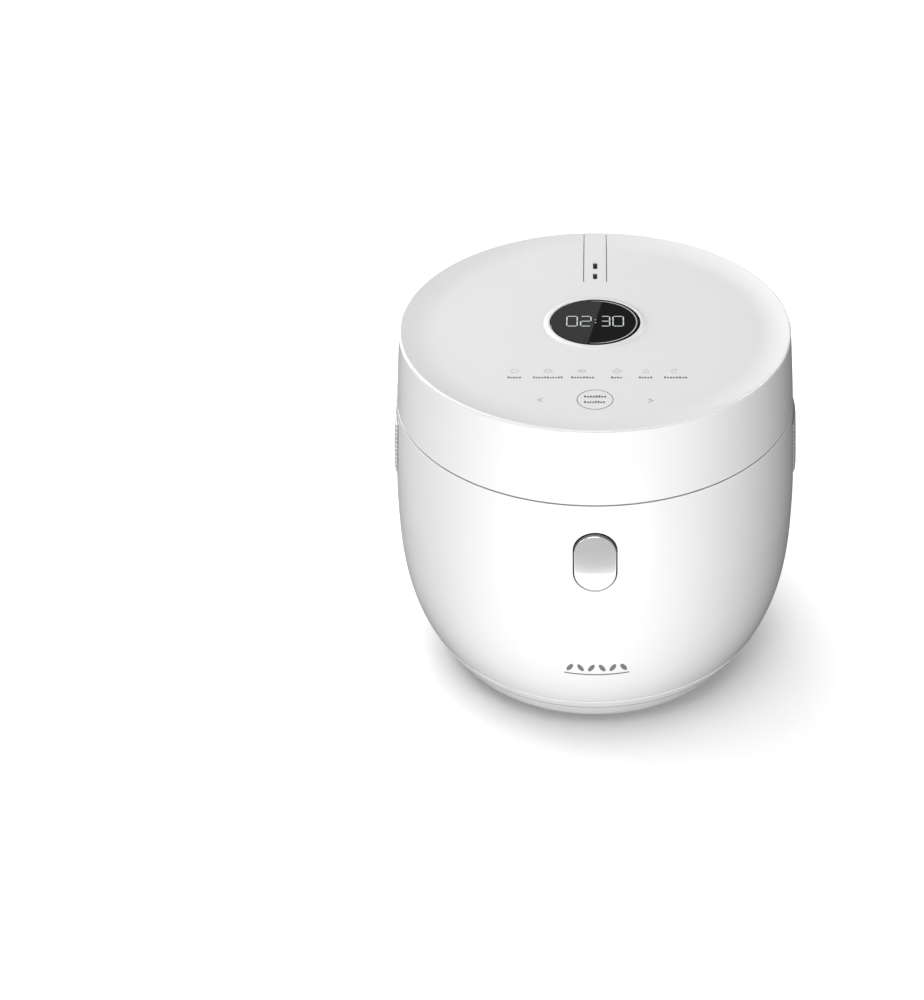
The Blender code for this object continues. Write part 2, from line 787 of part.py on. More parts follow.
def power_board():
    """Circuit board above the base cover with its two tall components."""
    top = BOARD_Z + BOARD_T
    piece(box((-0.048, -0.072, BOARD_Z), (0.048, -0.022, top)), "power_board", "board_green")
    parts = {
        "board_transformer": ((-0.040, -0.062), (-0.012, -0.034), 0.0340, "black_plastic"),
        "board_relay": ((0.010, -0.050), (0.038, -0.034), 0.0330, "white_satin"),
    }
    for name, (low, high, reach, finish) in parts.items():
        body = box((*low, top + GAP), (*high, reach))
        bmesh.ops.bevel(
            body, geom=body.edges[:], offset=0.0008, segments=1, affect="EDGES"
        )
        piece(body, name, finish)
    piece(rod(0.0032, -0.011, 0.011, (0.036, 0.0498), "X", 12), "thermal_fuse", "steel")


def wiring(name, route, radius):
    """A wire bundle along a smooth curve through the route's points."""
    curve = bpy.data.curves.new(name, "CURVE")
    curve.dimensions = "3D"
    curve.bevel_depth = radius
    curve.bevel_resolution = 2
    curve.use_fill_caps = True
    curve.resolution_u = 3
    spline = curve.splines.new("NURBS")
    spline.points.add(len(route) - 1)
    for point, place in zip(spline.points, route):
        point.co = (*place, 1.0)
    spline.use_endpoint_u = True
    spline.order_u = 4
    item = bpy.data.objects.new(name, curve)
    curve.materials.append(finish_of(name, "wire_sleeve"))
    bpy.context.collection.objects.link(item)
    return item


def body_wiring():
    route = [
        (0.056, -0.030, 0.0200),
        (0.062, -0.008, 0.0205),
        (0.060, 0.022, 0.0240),
        (0.050, 0.052, 0.0300),
        (0.046, 0.080, 0.0400),
        (0.050, 0.0990, 0.0560),
        (0.052, 0.0990, 0.0750),
        (0.052, 0.0990, 0.1100),
        (0.052, 0.0990, 0.1500),
        (0.052, 0.0985, 0.1660),
    ]
    item = wiring("harness_body", route, 0.0022)
    item.parent = empties["cooker"][0]


# Release button and latch -------------------------------------------------------


def release_button():
    """Stadium-shaped push button that sits in the shell's window."""
    pivot("button_slide", (0.0, -wall_r(BUTTON_Z), BUTTON_Z), "cooker")
    face = stadium(BUTTON_W, BUTTON_H, (0.0, BUTTON_Z))
    button = piece(
        prism(face, BUTTON_FLANGE_Y, -0.130, "Y"),
        "release_button",
        "satin_silver",
        "button_slide",
    )
    low = BUTTON_Z - BUTTON_H / 2
    profile = [(0.150, low - 0.004), (0.150, low + BUTTON_H + 0.004)]
    for share in spaced(1.1, -0.1, 9):
        z = low + BUTTON_H * share
        dish = BUTTON_DISH * max(0.0, share) ** 2
        profile.append((wall_r(z) - 0.0004 - dish, z))
    cut(button, turned(profile, 40, 40, 250), "finger_dish")
    flange = stadium(BUTTON_W, BUTTON_H, (0.0, BUTTON_Z), grow=0.0025)
    back = BUTTON_FLANGE_Y + 0.0018
    add(button, prism(flange, BUTTON_FLANGE_Y, back, "Y"), "flange")
    stem_z = LATCH_PIVOT_Z - 0.020
    stem = box((-0.004, back - 0.001, stem_z - 0.001), (0.004, -0.1135, stem_z + 0.001))
    add(button, stem, "stem")
    for name, x in (("left", -0.0145), ("right", 0.0145)):
        spring = coil(0.0028, 0.0004, back + GAP, BRACKET_Y - GAP, 5, (x, stem_z), "Y")
        piece(spring, f"button_spring_{name}", "steel")


def latch():
    """Lever whose hook holds the strike until the button tips it forward."""
    pivot("latch_pivot", (0.0, LATCH_PIVOT_Y, LATCH_PIVOT_Z), "cooker")
    front = LATCH_PIVOT_Y - LATCH_T / 2
    back = LATCH_PIVOT_Y + LATCH_T / 2
    low = LATCH_PIVOT_Z - LATCH_TAIL
    top = LATCH_HOOK_Z + 0.0032
    outline = [
        (front, low),
        (back, low),
        (back, LATCH_HOOK_Z),
        (back + LATCH_HOOK_REACH, LATCH_HOOK_Z),
        (back + LATCH_HOOK_REACH, LATCH_HOOK_Z + 0.0008),
        (back, top),
        (front, top),
    ]
    body = prism(outline, -LATCH_HALF_W, LATCH_HALF_W, "X")
    lever = piece(body, "latch_lever", "grey_plastic", "latch_pivot")
    at = (LATCH_PIVOT_Y, LATCH_PIVOT_Z)
    add(lever, rod(0.0026, -LATCH_HALF_W, LATCH_HALF_W, at, "X"), "hub")
    cut(lever, rod(LATCH_PIN_R + GAP, -0.012, 0.012, at, "X", 12), "pin_bore")
    piece(rod(LATCH_PIN_R, -0.0142, 0.0142, at, "X", 12), "latch_pin", "steel")

    plate = box((-0.020, BRACKET_Y, 0.130), (0.020, BRACKET_Y + 0.0015, 0.1745))
    bracket = piece(plate, "latch_bracket", "steel")
    ears = []
    for side in (-1, 1):
        low, high = sorted((side * 0.0105, side * 0.0120))
        outline = rectangle(
            (LATCH_PIVOT_Y - 0.0030, LATCH_PIVOT_Z - 0.0045),
            (BRACKET_Y + 0.0010, LATCH_PIVOT_Z + 0.0045),
        )
        ears.append(prism(outline, low, high, "X"))
    add(bracket, gathered(ears), "ears")
    cut(bracket, rod(LATCH_PIN_R + GAP, -0.015, 0.015, at, "X", 12), "pin_bores")


# Hinge --------------------------------------------------------------------------


def hinge():
    """Body side of the hinge: eared bracket, pin, springs and cover."""
    at = (HINGE_Y, HINGE_Z)
    near_y, far_y = HINGE_PLATE_Y
    low_z, high_z = HINGE_PLATE_Z
    plate = box((-EAR_X[1], near_y, low_z), (EAR_X[1], far_y, high_z))
    bracket = piece(plate, "hinge_bracket", "steel")
    ears, knuckles = [], []
    for side in (-1, 1):
        low, high = sorted((side * EAR_X[0], side * EAR_X[1]))
        outline = [
            (near_y, low_z + 0.002),
            (far_y + 0.003, low_z + 0.002),
            (HINGE_Y + KNUCKLE_R, 0.180),
            (HINGE_Y + KNUCKLE_R, HINGE_Z),
            (near_y, HINGE_Z),
        ]
        ears.append(prism(outline, low, high, "X"))
        knuckles.append(rod(KNUCKLE_R, low, high, at, "X", 20))
    add(bracket, gathered(ears), "ears")
    add(bracket, gathered(knuckles), "knuckles")
    cut(bracket, rod(HINGE_BORE_R, -0.030, 0.030, at, "X"), "pin_bores")

    piece(rod(HINGE_PIN_R, -0.0252, 0.0252, at, "X"), "hinge_pin", "steel")
    for name, side in (("left", -1), ("right", 1)):
        low, high = sorted((side * (LID_KNUCKLE_X + 0.0007), side * (EAR_X[0] - 0.0007)))
        spring = coil(0.0034, 0.00055, low, high, 5, at, "X")
        piece(spring, f"hinge_spring_{name}", "steel")

    outside = [
        (0.118, 0.156),
        (0.130, 0.158),
        (HINGE_COVER_Y, 0.166),
        (HINGE_COVER_Y, HINGE_COVER_TOP_Z),
        (0.118, HINGE_COVER_TOP_Z),
    ]
    half_w = HINGE_COVER_HALF_W
    cover = piece(prism(outside, -half_w, half_w, "X"), "hinge_cover", "white_gloss")
    skin = 0.0018
    inside = [
        (0.110, 0.158),
        (0.1292, 0.160),
        (HINGE_COVER_Y - skin, 0.1668),
        (HINGE_COVER_Y - skin, 0.190),
        (0.110, 0.190),
    ]
    cut(cover, prism(inside, skin - half_w, half_w - skin, "X"), "hollow")
    wall = [(0.100, 0.150)] + wall_points(0.150, 0.190, 4, -GAP) + [(0.100, 0.190)]
    cut(cover, turned(wall, 48), "wall_fit")


# Lid ----------------------------------------------------------------------------


def lid_ring():
    """Side wall of the lid, notched behind for the hinge arm and the vent strip."""
    outside = wall_points(LID_LOW_Z, PANEL_SEAM_Z, 6)
    inside = wall_points(LID_LOW_Z, PANEL_SEAM_Z, 5, WALL)[::-1]
    ring = piece(turned(outside + inside), "lid_ring", "white_gloss", "lid_hinge")
    arm_w = LID_KNUCKLE_X + 0.0008
    cut(ring, box((-arm_w, 0.105, 0.185), (arm_w, 0.135, 0.1958)), "arm_notch")
    cut(ring, strip_box(0.0002, VENT_STRIP_LOW_Z), "vent_notch")


def strip_box(grow, low_z):
    """The block of space that the vent strip takes out of the lid's skin."""
    half_w = VENT_STRIP_HALF_W + grow
    return box((-half_w, VENT_STRIP_FRONT_Y - grow, low_z - grow), (half_w, 0.135, 0.245))


def panel_profile():
    """Dished top skin that ends in a crisp rim above the side wall."""
    radii = spaced(DISH_FLAT_R, RIM_CREST_R, 4)
    top = [(0.0, DISH_Z)] + [(r, dish_z(r)) for r in radii]
    rim_low = HEIGHT - 0.0017
    lip_r = wall_r(HEIGHT) - WALL - 0.0002
    rim = [
        (RIM_CREST_R + 0.0012, HEIGHT - 0.0004),
        (wall_r(HEIGHT) - 0.0002, HEIGHT - 0.0012),
        (wall_r(HEIGHT) - 0.0002, rim_low),
        (lip_r, rim_low),
        (lip_r, DISH_Z - 0.0020),
        (lip_r - 0.0020, DISH_Z - 0.0020),
        (lip_r - 0.0020, dish_z(lip_r - 0.0020) - PANEL_T),
    ]
    under = [(DISH_FLAT_R, DISH_Z - PANEL_T), (0.0, DISH_Z - PANEL_T)]
    return top + rim + under


def lid_top_panel():
    """Top skin with the raised bezel round the display."""
    panel = piece(turned(panel_profile()), "lid_top_panel", "white_gloss", "lid_hinge")
    bump = [
        (DISPLAY_R, DISH_Z - PANEL_T / 2),
        (BEZEL_R, DISH_Z - PANEL_T / 2),
        (BEZEL_R, DISH_Z + 0.0001),
        (BEZEL_R - 0.0022, DISH_Z + BEZEL_H * 0.7),
        (DISPLAY_R + 0.0012, DISH_Z + BEZEL_H),
        (DISPLAY_R, DISH_Z + BEZEL_H * 0.9),
    ]
    add(panel, moved(turned(bump, 28), y=DISPLAY_Y, turn_deg=4), "bezel")
    hole = rod(DISPLAY_R + GAP, 0.225, 0.240, (0.0, DISPLAY_Y), count=28)
    cut(panel, hole, "display_hole")
    cut(panel, strip_box(0.0002, 0.225), "vent_notch")


def steam_vent():
    """Lift-off vent: a strip in the lid's skin with a cup below it."""
    pivot("vent_slide", (0.0, STEAM_Y, DISH_Z), "lid_hinge")
    cap = piece(turned(panel_profile()), "steam_vent_cap", "white_gloss", "vent_slide")
    ring = wall_points(VENT_STRIP_LOW_Z, PANEL_SEAM_Z, 3)
    ring += wall_points(VENT_STRIP_LOW_Z, HEIGHT - 0.0012, 3, WALL)[::-1]
    add(cap, turned(ring), "rear_wrap")
    shaped(cap, "INTERSECT", strip_box(0.0, VENT_STRIP_LOW_Z + 0.0003), "strip")
    slots = []
    for low_y, high_y in STEAM_SLOTS_Y:
        low = (-STEAM_SLOT_HALF_W, low_y, 0.225)
        slots.append(box(low, (STEAM_SLOT_HALF_W, high_y, 0.240)))
    cut(cap, gathered(slots), "steam_slots")

    top = DISH_Z - PANEL_T - GAP
    block = box((-CUP_HALF_W, CUP_Y[0], CUP_LOW_Z), (CUP_HALF_W, CUP_Y[1], top))
    cup = piece(block, "steam_cup", "white_satin", "vent_slide")
    low = (CUP_T - CUP_HALF_W, CUP_Y[0] + CUP_T, CUP_LOW_Z + CUP_T)
    cut(cup, box(low, (CUP_HALF_W - CUP_T, CUP_Y[1] - CUP_T, 0.24)), "hollow")
    cut(cup, rod(0.0040, 0.200, 0.215, (0.0, STEAM_Y), count=12), "inlet")
    seal = [(0.0048, 0.2041), (0.0064, 0.2041), (0.0064, 0.2072), (0.0048, 0.2072)]
    piece(moved(turned(seal, 20), y=STEAM_Y), "steam_seal", "silicone", "lid_hinge")


def lid_frame():
    """Inner tray of the lid with the hinge arm, the steam duct and the latch slot."""
    edge_low, edge_high = FRAME_EDGE_Z
    profile = [
        (FRAME_R, edge_low),
        (FRAME_R, edge_high),
        (FRAME_R - FRAME_T, edge_high),
        (FRAME_R - FRAME_T, FRAME_FLANGE_Z),
        (0.1092, FRAME_FLANGE_Z),
        (0.1080, FRAME_TOP_Z),
        (0.0120, FRAME_TOP_Z),
        (0.0120, FRAME_TOP_Z - FRAME_T),
        (0.1060, FRAME_TOP_Z - FRAME_T),
        (0.1074, edge_low),
    ]
    frame = piece(turned(profile, INNER_STEPS), "lid_frame", "grey_plastic", "lid_hinge")
    arm = [
        (0.1140, 0.1912),
        (0.1140, 0.1948),
        (HINGE_Y - 0.001, 0.1948),
        (HINGE_Y + 0.0035, 0.1912),
        (HINGE_Y + KNUCKLE_R, HINGE_Z),
        (HINGE_Y - KNUCKLE_R, HINGE_Z),
        (HINGE_Y - KNUCKLE_R, 0.1912),
    ]
    at = (HINGE_Y, HINGE_Z)
    add(frame, prism(arm, -LID_KNUCKLE_X, LID_KNUCKLE_X, "X"), "arm")
    add(frame, rod(KNUCKLE_R, -LID_KNUCKLE_X, LID_KNUCKLE_X, at, "X", 20), "knuckle")
    cut(frame, rod(HINGE_BORE_R, -0.015, 0.015, at, "X"), "pin_bore")
    duct_at = (0.0, STEAM_Y)
    add(frame, rod(DUCT_R, FRAME_TOP_Z - 0.0008, DUCT_TOP_Z, duct_at), "duct")
    cut(frame, rod(DUCT_BORE_R, 0.190, 0.210, duct_at), "duct_bore")
    half_w = LATCH_SLOT_HALF_W
    cut(frame, box((-half_w, -0.1215, 0.1880), (half_w, -0.1088, 0.1990)), "latch_slot")


def latch_strike():
    """Steel bar across the tray's slot that the hook reaches over."""
    at = (STRIKE_Y, FRAME_FLANGE_Z + GAP + STRIKE_R)
    bar = rod(STRIKE_R, -0.0125, 0.0125, at, "X", 12)
    piece(bar, "latch_strike", "steel", "lid_hinge")


def inner_lid():
    """Removable pressed inner lid with its gasket, grommet and steam holes."""
    crown = 0.0035
    radii = spaced(0.0085, INNER_LID_R, 4)

    def height(r):
        return INNER_LID_EDGE_Z + crown * (1 - (r / INNER_LID_R) ** 2)

    profile = [(r, height(r)) for r in radii]
    profile += [(r, height(r) + INNER_LID_T) for r in radii[::-1]]
    lid = piece(turned(profile, INNER_STEPS), "inner_lid", "aluminium", "lid_hinge")
    cut(lid, steam_holes(), "steam_holes")

    gasket = [
        (0.0972, 0.1900),
        (0.1052, 0.1900),
        (0.1056, 0.1918),
        (0.1040, 0.1945),
        (0.0984, 0.1945),
        (0.0984, 0.1926),
        (0.1004, 0.1926),
        (0.1004, 0.1908),
        (0.0972, 0.1908),
    ]
    piece(turned(gasket, INNER_STEPS), "lid_gasket", "silicone", "lid_hinge")


def steam_holes():
    """A small ring of holes in the inner lid under the steam duct."""
    bodies = []
    for k in range(6):
        angle = 2 * math.pi * k / 6
        at = (0.0060 * math.cos(angle), STEAM_Y + 0.0060 * math.sin(angle))
        bodies.append(rod(0.0015, 0.185, 0.200, at, count=6))
    return gathered(bodies)


def inner_lid_fixings():
    """Rubber grommet that holds the inner lid, and the lid's temperature sensor."""
    grommet = [
        (0.0042, 0.1928),
        (0.0100, 0.1928),
        (0.0100, 0.1943),
        (0.0080, 0.1943),
        (0.0080, 0.1962),
        (0.0105, 0.1962),
        (0.0105, 0.1974),
        (0.0042, 0.1974),
    ]
    piece(turned(grommet, 16), "inner_lid_grommet", "silicone", "lid_hinge")
    sensor = [
        (0.0, 0.1915),
        (0.0032, 0.1918),
        (0.0038, 0.1930),
        (0.0038, 0.2045),
        (0.0090, 0.2045),
        (0.0090, 0.2065),
        (0.0, 0.2065),
    ]
    piece(turned(sensor, 16), "lid_sensor", "aluminium", "lid_hinge")


def display():
    """Black display window, with the display board and the touch board below."""
    top = DISH_Z + BEZEL_H * 0.55
    profile = [
        (0.0, DISH_Z - PANEL_T),
        (DISPLAY_R - 0.0002, DISH_Z - PANEL_T),
        (DISPLAY_R - 0.0002, top - 0.0003),
        (DISPLAY_R - 0.0006, top),
        (0.0, top),
    ]
    window = moved(turned(profile, 28), y=DISPLAY_Y)
    piece(window, "display_window", "black_glass", "lid_hinge")
    low, high = LID_BOARD_Z
    outline = rectangle((0.0, low), (DISPLAY_BOARD_R, high))
    board = moved(turned(outline, 24), y=DISPLAY_Y)
    piece(board, "display_board", "board_green", "lid_hinge")
    touch = box((-0.060, -0.094, low), (0.060, -0.042, high))
    piece(touch, "touch_board", "board_green", "lid_hinge")
    route = [
        (0.030, -0.036, 0.2240),
        (0.045, -0.025, 0.2180),
        (0.058, 0.000, 0.2140),
        (0.060, 0.030, 0.2120),
        (0.052, 0.060, 0.2100),
        (0.040, 0.085, 0.2080),
        (0.030, 0.100, 0.2060),
    ]
    empty, centre = empties["lid_hinge"]
    route = [tuple(Vector(point) - centre) for point in route]
    item = wiring("harness_lid", route, 0.0018)
    item.parent = empty


def build():
    for item in list(bpy.data.objects):
        bpy.data.objects.remove(item, do_unlink=True)
    pivot("cooker", (0.0, AXIS_Y, 0.0))
    pivot("lid_hinge", (0.0, HINGE_Y, HINGE_Z), "cooker")
    outer_shell()
    base_cover()
    feet()
    base_screws()
    upper_collar()
    side_grips()
    inner_pot()
    rice_basket()
    pot_well()
    heating_plate()
    heating_tube()
    plate_screws()
    temperature_sensor()
    power_inlet()
    power_board()
    body_wiring()
    release_button()
    latch()
    hinge()
    lid_ring()
    lid_top_panel()
    steam_vent()
    lid_frame()
    latch_strike()
    inner_lid()
    inner_lid_fixings()
    display()


build()
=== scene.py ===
"""Looks of the digital rice cooker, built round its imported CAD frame.

Metres, +Z up, the front with its release button at -Y and the hinge at +Y. Most shapes
turn about the cooker's own axis, so y is measured from that axis until as_object().
"""

import json
import math

import bmesh
import bpy
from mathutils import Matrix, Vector

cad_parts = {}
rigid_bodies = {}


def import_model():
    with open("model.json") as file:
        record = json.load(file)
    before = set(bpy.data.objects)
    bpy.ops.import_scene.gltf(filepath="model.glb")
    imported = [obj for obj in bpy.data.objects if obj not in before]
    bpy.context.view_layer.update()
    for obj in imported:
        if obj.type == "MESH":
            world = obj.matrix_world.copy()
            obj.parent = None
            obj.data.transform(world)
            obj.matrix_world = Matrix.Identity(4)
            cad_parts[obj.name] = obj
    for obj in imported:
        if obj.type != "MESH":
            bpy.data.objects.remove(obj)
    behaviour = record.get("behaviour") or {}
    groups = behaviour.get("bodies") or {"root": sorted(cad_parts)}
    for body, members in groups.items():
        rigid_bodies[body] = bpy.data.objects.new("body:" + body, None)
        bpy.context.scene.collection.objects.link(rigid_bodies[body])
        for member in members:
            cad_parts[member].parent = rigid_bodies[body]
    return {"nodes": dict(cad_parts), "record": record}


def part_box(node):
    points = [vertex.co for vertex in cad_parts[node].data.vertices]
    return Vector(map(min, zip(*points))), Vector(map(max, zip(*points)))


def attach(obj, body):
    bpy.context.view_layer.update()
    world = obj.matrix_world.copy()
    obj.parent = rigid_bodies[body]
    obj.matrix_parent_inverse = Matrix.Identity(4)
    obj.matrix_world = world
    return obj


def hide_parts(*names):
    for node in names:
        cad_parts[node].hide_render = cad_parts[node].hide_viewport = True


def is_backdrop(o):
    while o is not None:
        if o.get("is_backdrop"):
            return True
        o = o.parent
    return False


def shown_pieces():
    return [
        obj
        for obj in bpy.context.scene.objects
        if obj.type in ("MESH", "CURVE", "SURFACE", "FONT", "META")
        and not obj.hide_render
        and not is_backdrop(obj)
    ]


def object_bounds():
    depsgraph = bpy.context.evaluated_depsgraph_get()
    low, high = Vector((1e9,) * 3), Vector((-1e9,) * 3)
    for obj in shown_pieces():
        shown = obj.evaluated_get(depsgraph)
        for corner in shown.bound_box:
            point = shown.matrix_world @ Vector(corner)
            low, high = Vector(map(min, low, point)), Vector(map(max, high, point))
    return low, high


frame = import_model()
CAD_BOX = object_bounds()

RECORD = frame["record"]
BODY_OF = {node: body for body, nodes in RECORD["behaviour"]["bodies"].items() for node in nodes}
SLOT_OF = {part["node"]: part["material_slot"] for part in RECORD["subparts"]}

# The barrel-shaped wall, as the CAD turns it. It narrows by LOWER_DROP below its waist and
# by UPPER_DROP above it.
SHELL_LOW, SHELL_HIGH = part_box("outer_shell")
AXIS_Y = (SHELL_LOW.y + SHELL_HIGH.y) / 2
BODY_R = SHELL_HIGH.x
HEIGHT = CAD_BOX[1].z
LOWER_DROP = 0.0325
LOWER_POWER = 3.1
UPPER_DROP = 0.0080
UPPER_POWER = 1.4
WALL = 0.0025
SEAM = 0.0008
EDGE_R = 0.0003
TURN_STEPS = 224

# The lid's top: a flat middle, the dish's slope up to the rim, and the display's bezel.
PANEL_T = 0.0024
PANEL_SEAM_Z = HEIGHT - 0.0013
DISH_FLAT_R = 0.100
RIM_CREST_R = 0.1189
BEZEL_R = 0.0325
BEZEL_H = 0.0012
BEZEL_CREST = 0.20
STRIP_GAP = 0.00035

# Clearance between parts that slide into each other, and the thickness of printed ink.
FIT = 0.0003
DECAL_H = 0.00004

FEET = ("foot_front_left", "foot_front_right", "foot_rear_left", "foot_rear_right")
BASE_SCREWS = [f"base_screw_{number}" for number in range(1, 5)]


def room(node):
    """Lowest and highest corner of a CAD node, y measured from the cooker's axis."""
    low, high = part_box(node)
    shift = Vector((0.0, AXIS_Y, 0.0))
    return low - shift, high - shift


def middle(node):
    """Centre of a CAD node, y measured from the cooker's axis."""
    low, high = room(node)
    return (low + high) / 2


DISPLAY_LOW, DISPLAY_HIGH = room("display_window")
DISPLAY_R = (DISPLAY_HIGH.x - DISPLAY_LOW.x) / 2
DISPLAY_Y = (DISPLAY_LOW.y + DISPLAY_HIGH.y) / 2
DISH_Z = DISPLAY_LOW.z + PANEL_T
STRIP_LOW, STRIP_HIGH = room("steam_vent_cap")
BASE_TOP_Z = room("base_cover")[1].z
LID_LOW_Z = room("lid_ring")[0].z
SEAMS_Z = ((BASE_TOP_Z + SHELL_LOW.z) / 2, (SHELL_HIGH.z + LID_LOW_Z) / 2)
HINGE_AT = middle("hinge_pin")
KNUCKLE_R = 0.0045
LATCH_AT = middle("latch_pin")


# Outlines


def wall_r(z):
    """Outer radius of the body at height z."""
    waist = HEIGHT / 2
    if z < waist:
        return BODY_R - LOWER_DROP * ((waist - z) / waist) ** LOWER_POWER
    return BODY_R - UPPER_DROP * ((z - waist) / waist) ** UPPER_POWER


def dish_z(r):
    """Height of the lid's dished top at radius r."""
    if r < DISH_FLAT_R:
        return DISH_Z
    share = (r - DISH_FLAT_R) / (RIM_CREST_R - DISH_FLAT_R)
    return DISH_Z + (HEIGHT - DISH_Z) * share**2


def spaced(low, high, count):
    """Evenly spaced numbers from low to high, both included."""
    return [low + (high - low) * k / (count - 1) for k in range(count)]


def smooth(share):
    """Ease from 0 to 1 as share goes from 0 to 1."""
    share = min(1.0, max(0.0, share))
    return share * share * (3 - 2 * share)


def wall_points(low, high, count, inset=0.0):
    """Points of the body's outline, moved in by inset, from low to high."""
    return [(wall_r(z) - inset, z) for z in spaced(low, high, count)]


def polar(centre, radius, angle):
    """The point at an angle, in radians, on a circle."""
    return centre[0] + radius * math.cos(angle), centre[1] + radius * math.sin(angle)


def arc(centre, radius, start_deg, end_deg, count):
    """Points of an arc about centre, both ends included."""
    angles = spaced(start_deg, end_deg, count)
    return [polar(centre, radius, math.radians(degrees)) for degrees in angles]


def bend(start, corner, end, count=6):
    """A smooth run from start to end that bends at corner."""
    start, corner, end = Vector(start), Vector(corner), Vector(end)
    return [
        tuple(start * (1 - t) ** 2 + corner * 2 * t * (1 - t) + end * t * t)
        for t in spaced(0.0, 1.0, count)
    ]


def circle(radius, count=48, centre=(0.0, 0.0)):
    return arc(centre, radius, 0, 360 - 360 / count, count)


def rectangle(low, high):
    return [(low[0], low[1]), (high[0], low[1]), (high[0], high[1]), (low[0], high[1])]


def opening(low, high):
    """The (x, z) outline that a part between two corners needs, with its clearance."""
    return rectangle((low.x - FIT, low.z - FIT), (high.x + FIT, high.z + FIT))


def stadium(width, height, centre, grow=0.0, count=33):
    """A tall outline with half-round ends."""
    radius = width / 2 + grow
    reach = height / 2 - width / 2
    top = arc((centre[0], centre[1] + reach), radius, 0, 180, count)
    return top + arc((centre[0], centre[1] - reach), radius, 180, 360, count)


def rounded(corners, radius, count=5):
    """Round a closed outline's corners. A corner's own third value is its radius."""
    points = []
    for k, corner in enumerate(corners):
        here = Vector(corner[:2])
        reach = corner[2] if len(corner) > 2 else radius
        if reach == 0:
            points.append(tuple(here))
            continue
        back = Vector(corners[k - 1][:2]) - here
        on = Vector(corners[(k + 1) % len(corners)][:2]) - here
        start = here + back.normalized() * min(reach, back.length * 0.48)
        end = here + on.normalized() * min(reach, on.length * 0.48)
        points += bend(start, here, end, count)
    return points


# Bodies


def skinned(rings, joined=False, capped=False):
    """Skin a row of closed rings that have the same number of points."""
    bm = bmesh.new()
    rows = [[bm.verts.new(point) for point in ring] for ring in rings]
    pairs = list(zip(rows, rows[1:]))
    if joined:
        pairs.append((rows[-1], rows[0]))
    for row, following in pairs:
        for k in range(len(row)):
            m = (k + 1) % len(row)
            bm.faces.new((row[k], row[m], following[m], following[k]))
    if capped:
        bm.faces.new(rows[0])
        bm.faces.new(rows[-1])
    bmesh.ops.recalc_face_normals(bm, faces=bm.faces)
    return bm


def turned(profile, steps=TURN_STEPS):
    """Turn a closed outline of (radius, height) points about Z."""
    bm = bmesh.new()
    columns = []
    for step in range(steps):
        across, along = polar((0.0, 0.0), 1.0, 2 * math.pi * step / steps)
        columns.append([bm.verts.new((r * across, r * along, z)) for r, z in profile])
    for column, following in zip(columns, columns[1:] + columns[:1]):
        for k in range(len(profile)):
            m = (k + 1) % len(profile)
            if profile[k][0] or profile[m][0]:
                bm.faces.new((column[k], column[m], following[m], following[k]))
    bmesh.ops.remove_doubles(bm, verts=bm.verts, dist=1e-7)
    bmesh.ops.recalc_face_normals(bm, faces=bm.faces)
    return bm


def prism(outline, low, high, along="Z"):
    """Pull a flat outline from low to high. Along Y it is (x, z), along X (y, z)."""
    order = {
        "Z": lambda a, b, h: (a, b, h),
        "Y": lambda a, b, h: (a, h, b),
        "X": lambda a, b, h: (h, a, b),
    }[along]
    rings = [[order(a, b, height) for a, b in outline] for height in (low, high)]
    return skinned(rings, capped=True)


def box(low, high):
    return prism(rectangle(low[:2], high[:2]), low[2], high[2])


def rod(radius, low, high, at, along="Z", count=48):
    """A round bar between low and high. at is its centre in the other two axes."""
    return prism(circle(radius, count, at), low, high, along)


def softened(bm, width, segments=3, least_deg=40):
    """Round every edge of a body that is sharper than least_deg."""
    sharp = [e for e in bm.edges if e.calc_face_angle(0.0) > math.radians(least_deg)]
    how = {"segments": segments, "profile": 0.5, "affect": "EDGES", "clamp_overlap": True}
    bmesh.ops.bevel(bm, geom=sharp, offset=width, **how)
    return bm


def coil(radius, wire_r, low, high, turns, at, per_turn=36, sides=10):
    """A helical spring as one closed tube round the line through at, along X."""
    rings = []
    for step in range(turns * per_turn + 1):
        angle = 2 * math.pi * step / per_turn
        height = low + wire_r + (high - low - 2 * wire_r) * step / (turns * per_turn)
        ring = []
        for across, up in circle(wire_r, sides):
            ring.append((height + up, *polar(at, radius + across, angle)))
        rings.append(ring)
    return skinned(rings, capped=True)


def gathered(bodies):
    """Several bodies in one mesh."""
    bm = bmesh.new()
    for body in bodies:
        mesh = bpy.data.meshes.new("body")
        body.to_mesh(mesh)
        body.free()
        bm.from_mesh(mesh)
        bpy.data.meshes.remove(mesh)
    return bm


def moved(bm, x=0.0, y=0.0, z=0.0, turn_deg=0.0):
    """Turn a body about Z, then shift it."""
    turn = math.radians(turn_deg)
    for vert in bm.verts:
        a, b, c = vert.co
        across = a * math.cos(turn) - b * math.sin(turn)
        vert.co = (across + x, a * math.sin(turn) + b * math.cos(turn) + y, c + z)
    return bm


# Pieces


def as_object(bm, name):
    """A body as an object, moved from the cooker's axis to its place in the frame."""
    bmesh.ops.translate(bm, verts=bm.verts, vec=(0.0, AXIS_Y, 0.0))
    mesh = bpy.data.meshes.new(name)
    bm.to_mesh(mesh)
    bm.free()
    item = bpy.data.objects.new(name, mesh)
    bpy.context.scene.collection.objects.link(item)
    return item


def fine(bm, node):
    """Begin the piece that will stand for a CAD node."""
    return as_object(bm, f"{node}_fine")


def combined(item, operation, bm):
    """Cut, add or intersect a body, and keep the result as the piece's own mesh."""
    tool = as_object(bm, "tool")
    modifier = item.modifiers.new("tool", "BOOLEAN")
    modifier.operation = operation
    modifier.solver = "EXACT"
    modifier.object = tool
    shape = item.evaluated_get(bpy.context.evaluated_depsgraph_get())
    mesh = bpy.data.meshes.new_from_object(shape)
    item.modifiers.clear()
    item.data = mesh
    bpy.data.objects.remove(tool, do_unlink=True)


def cut(item, *bodies):
    """Cut bodies out of a piece, one after another."""
    for bm in bodies:
        combined(item, "DIFFERENCE", bm)


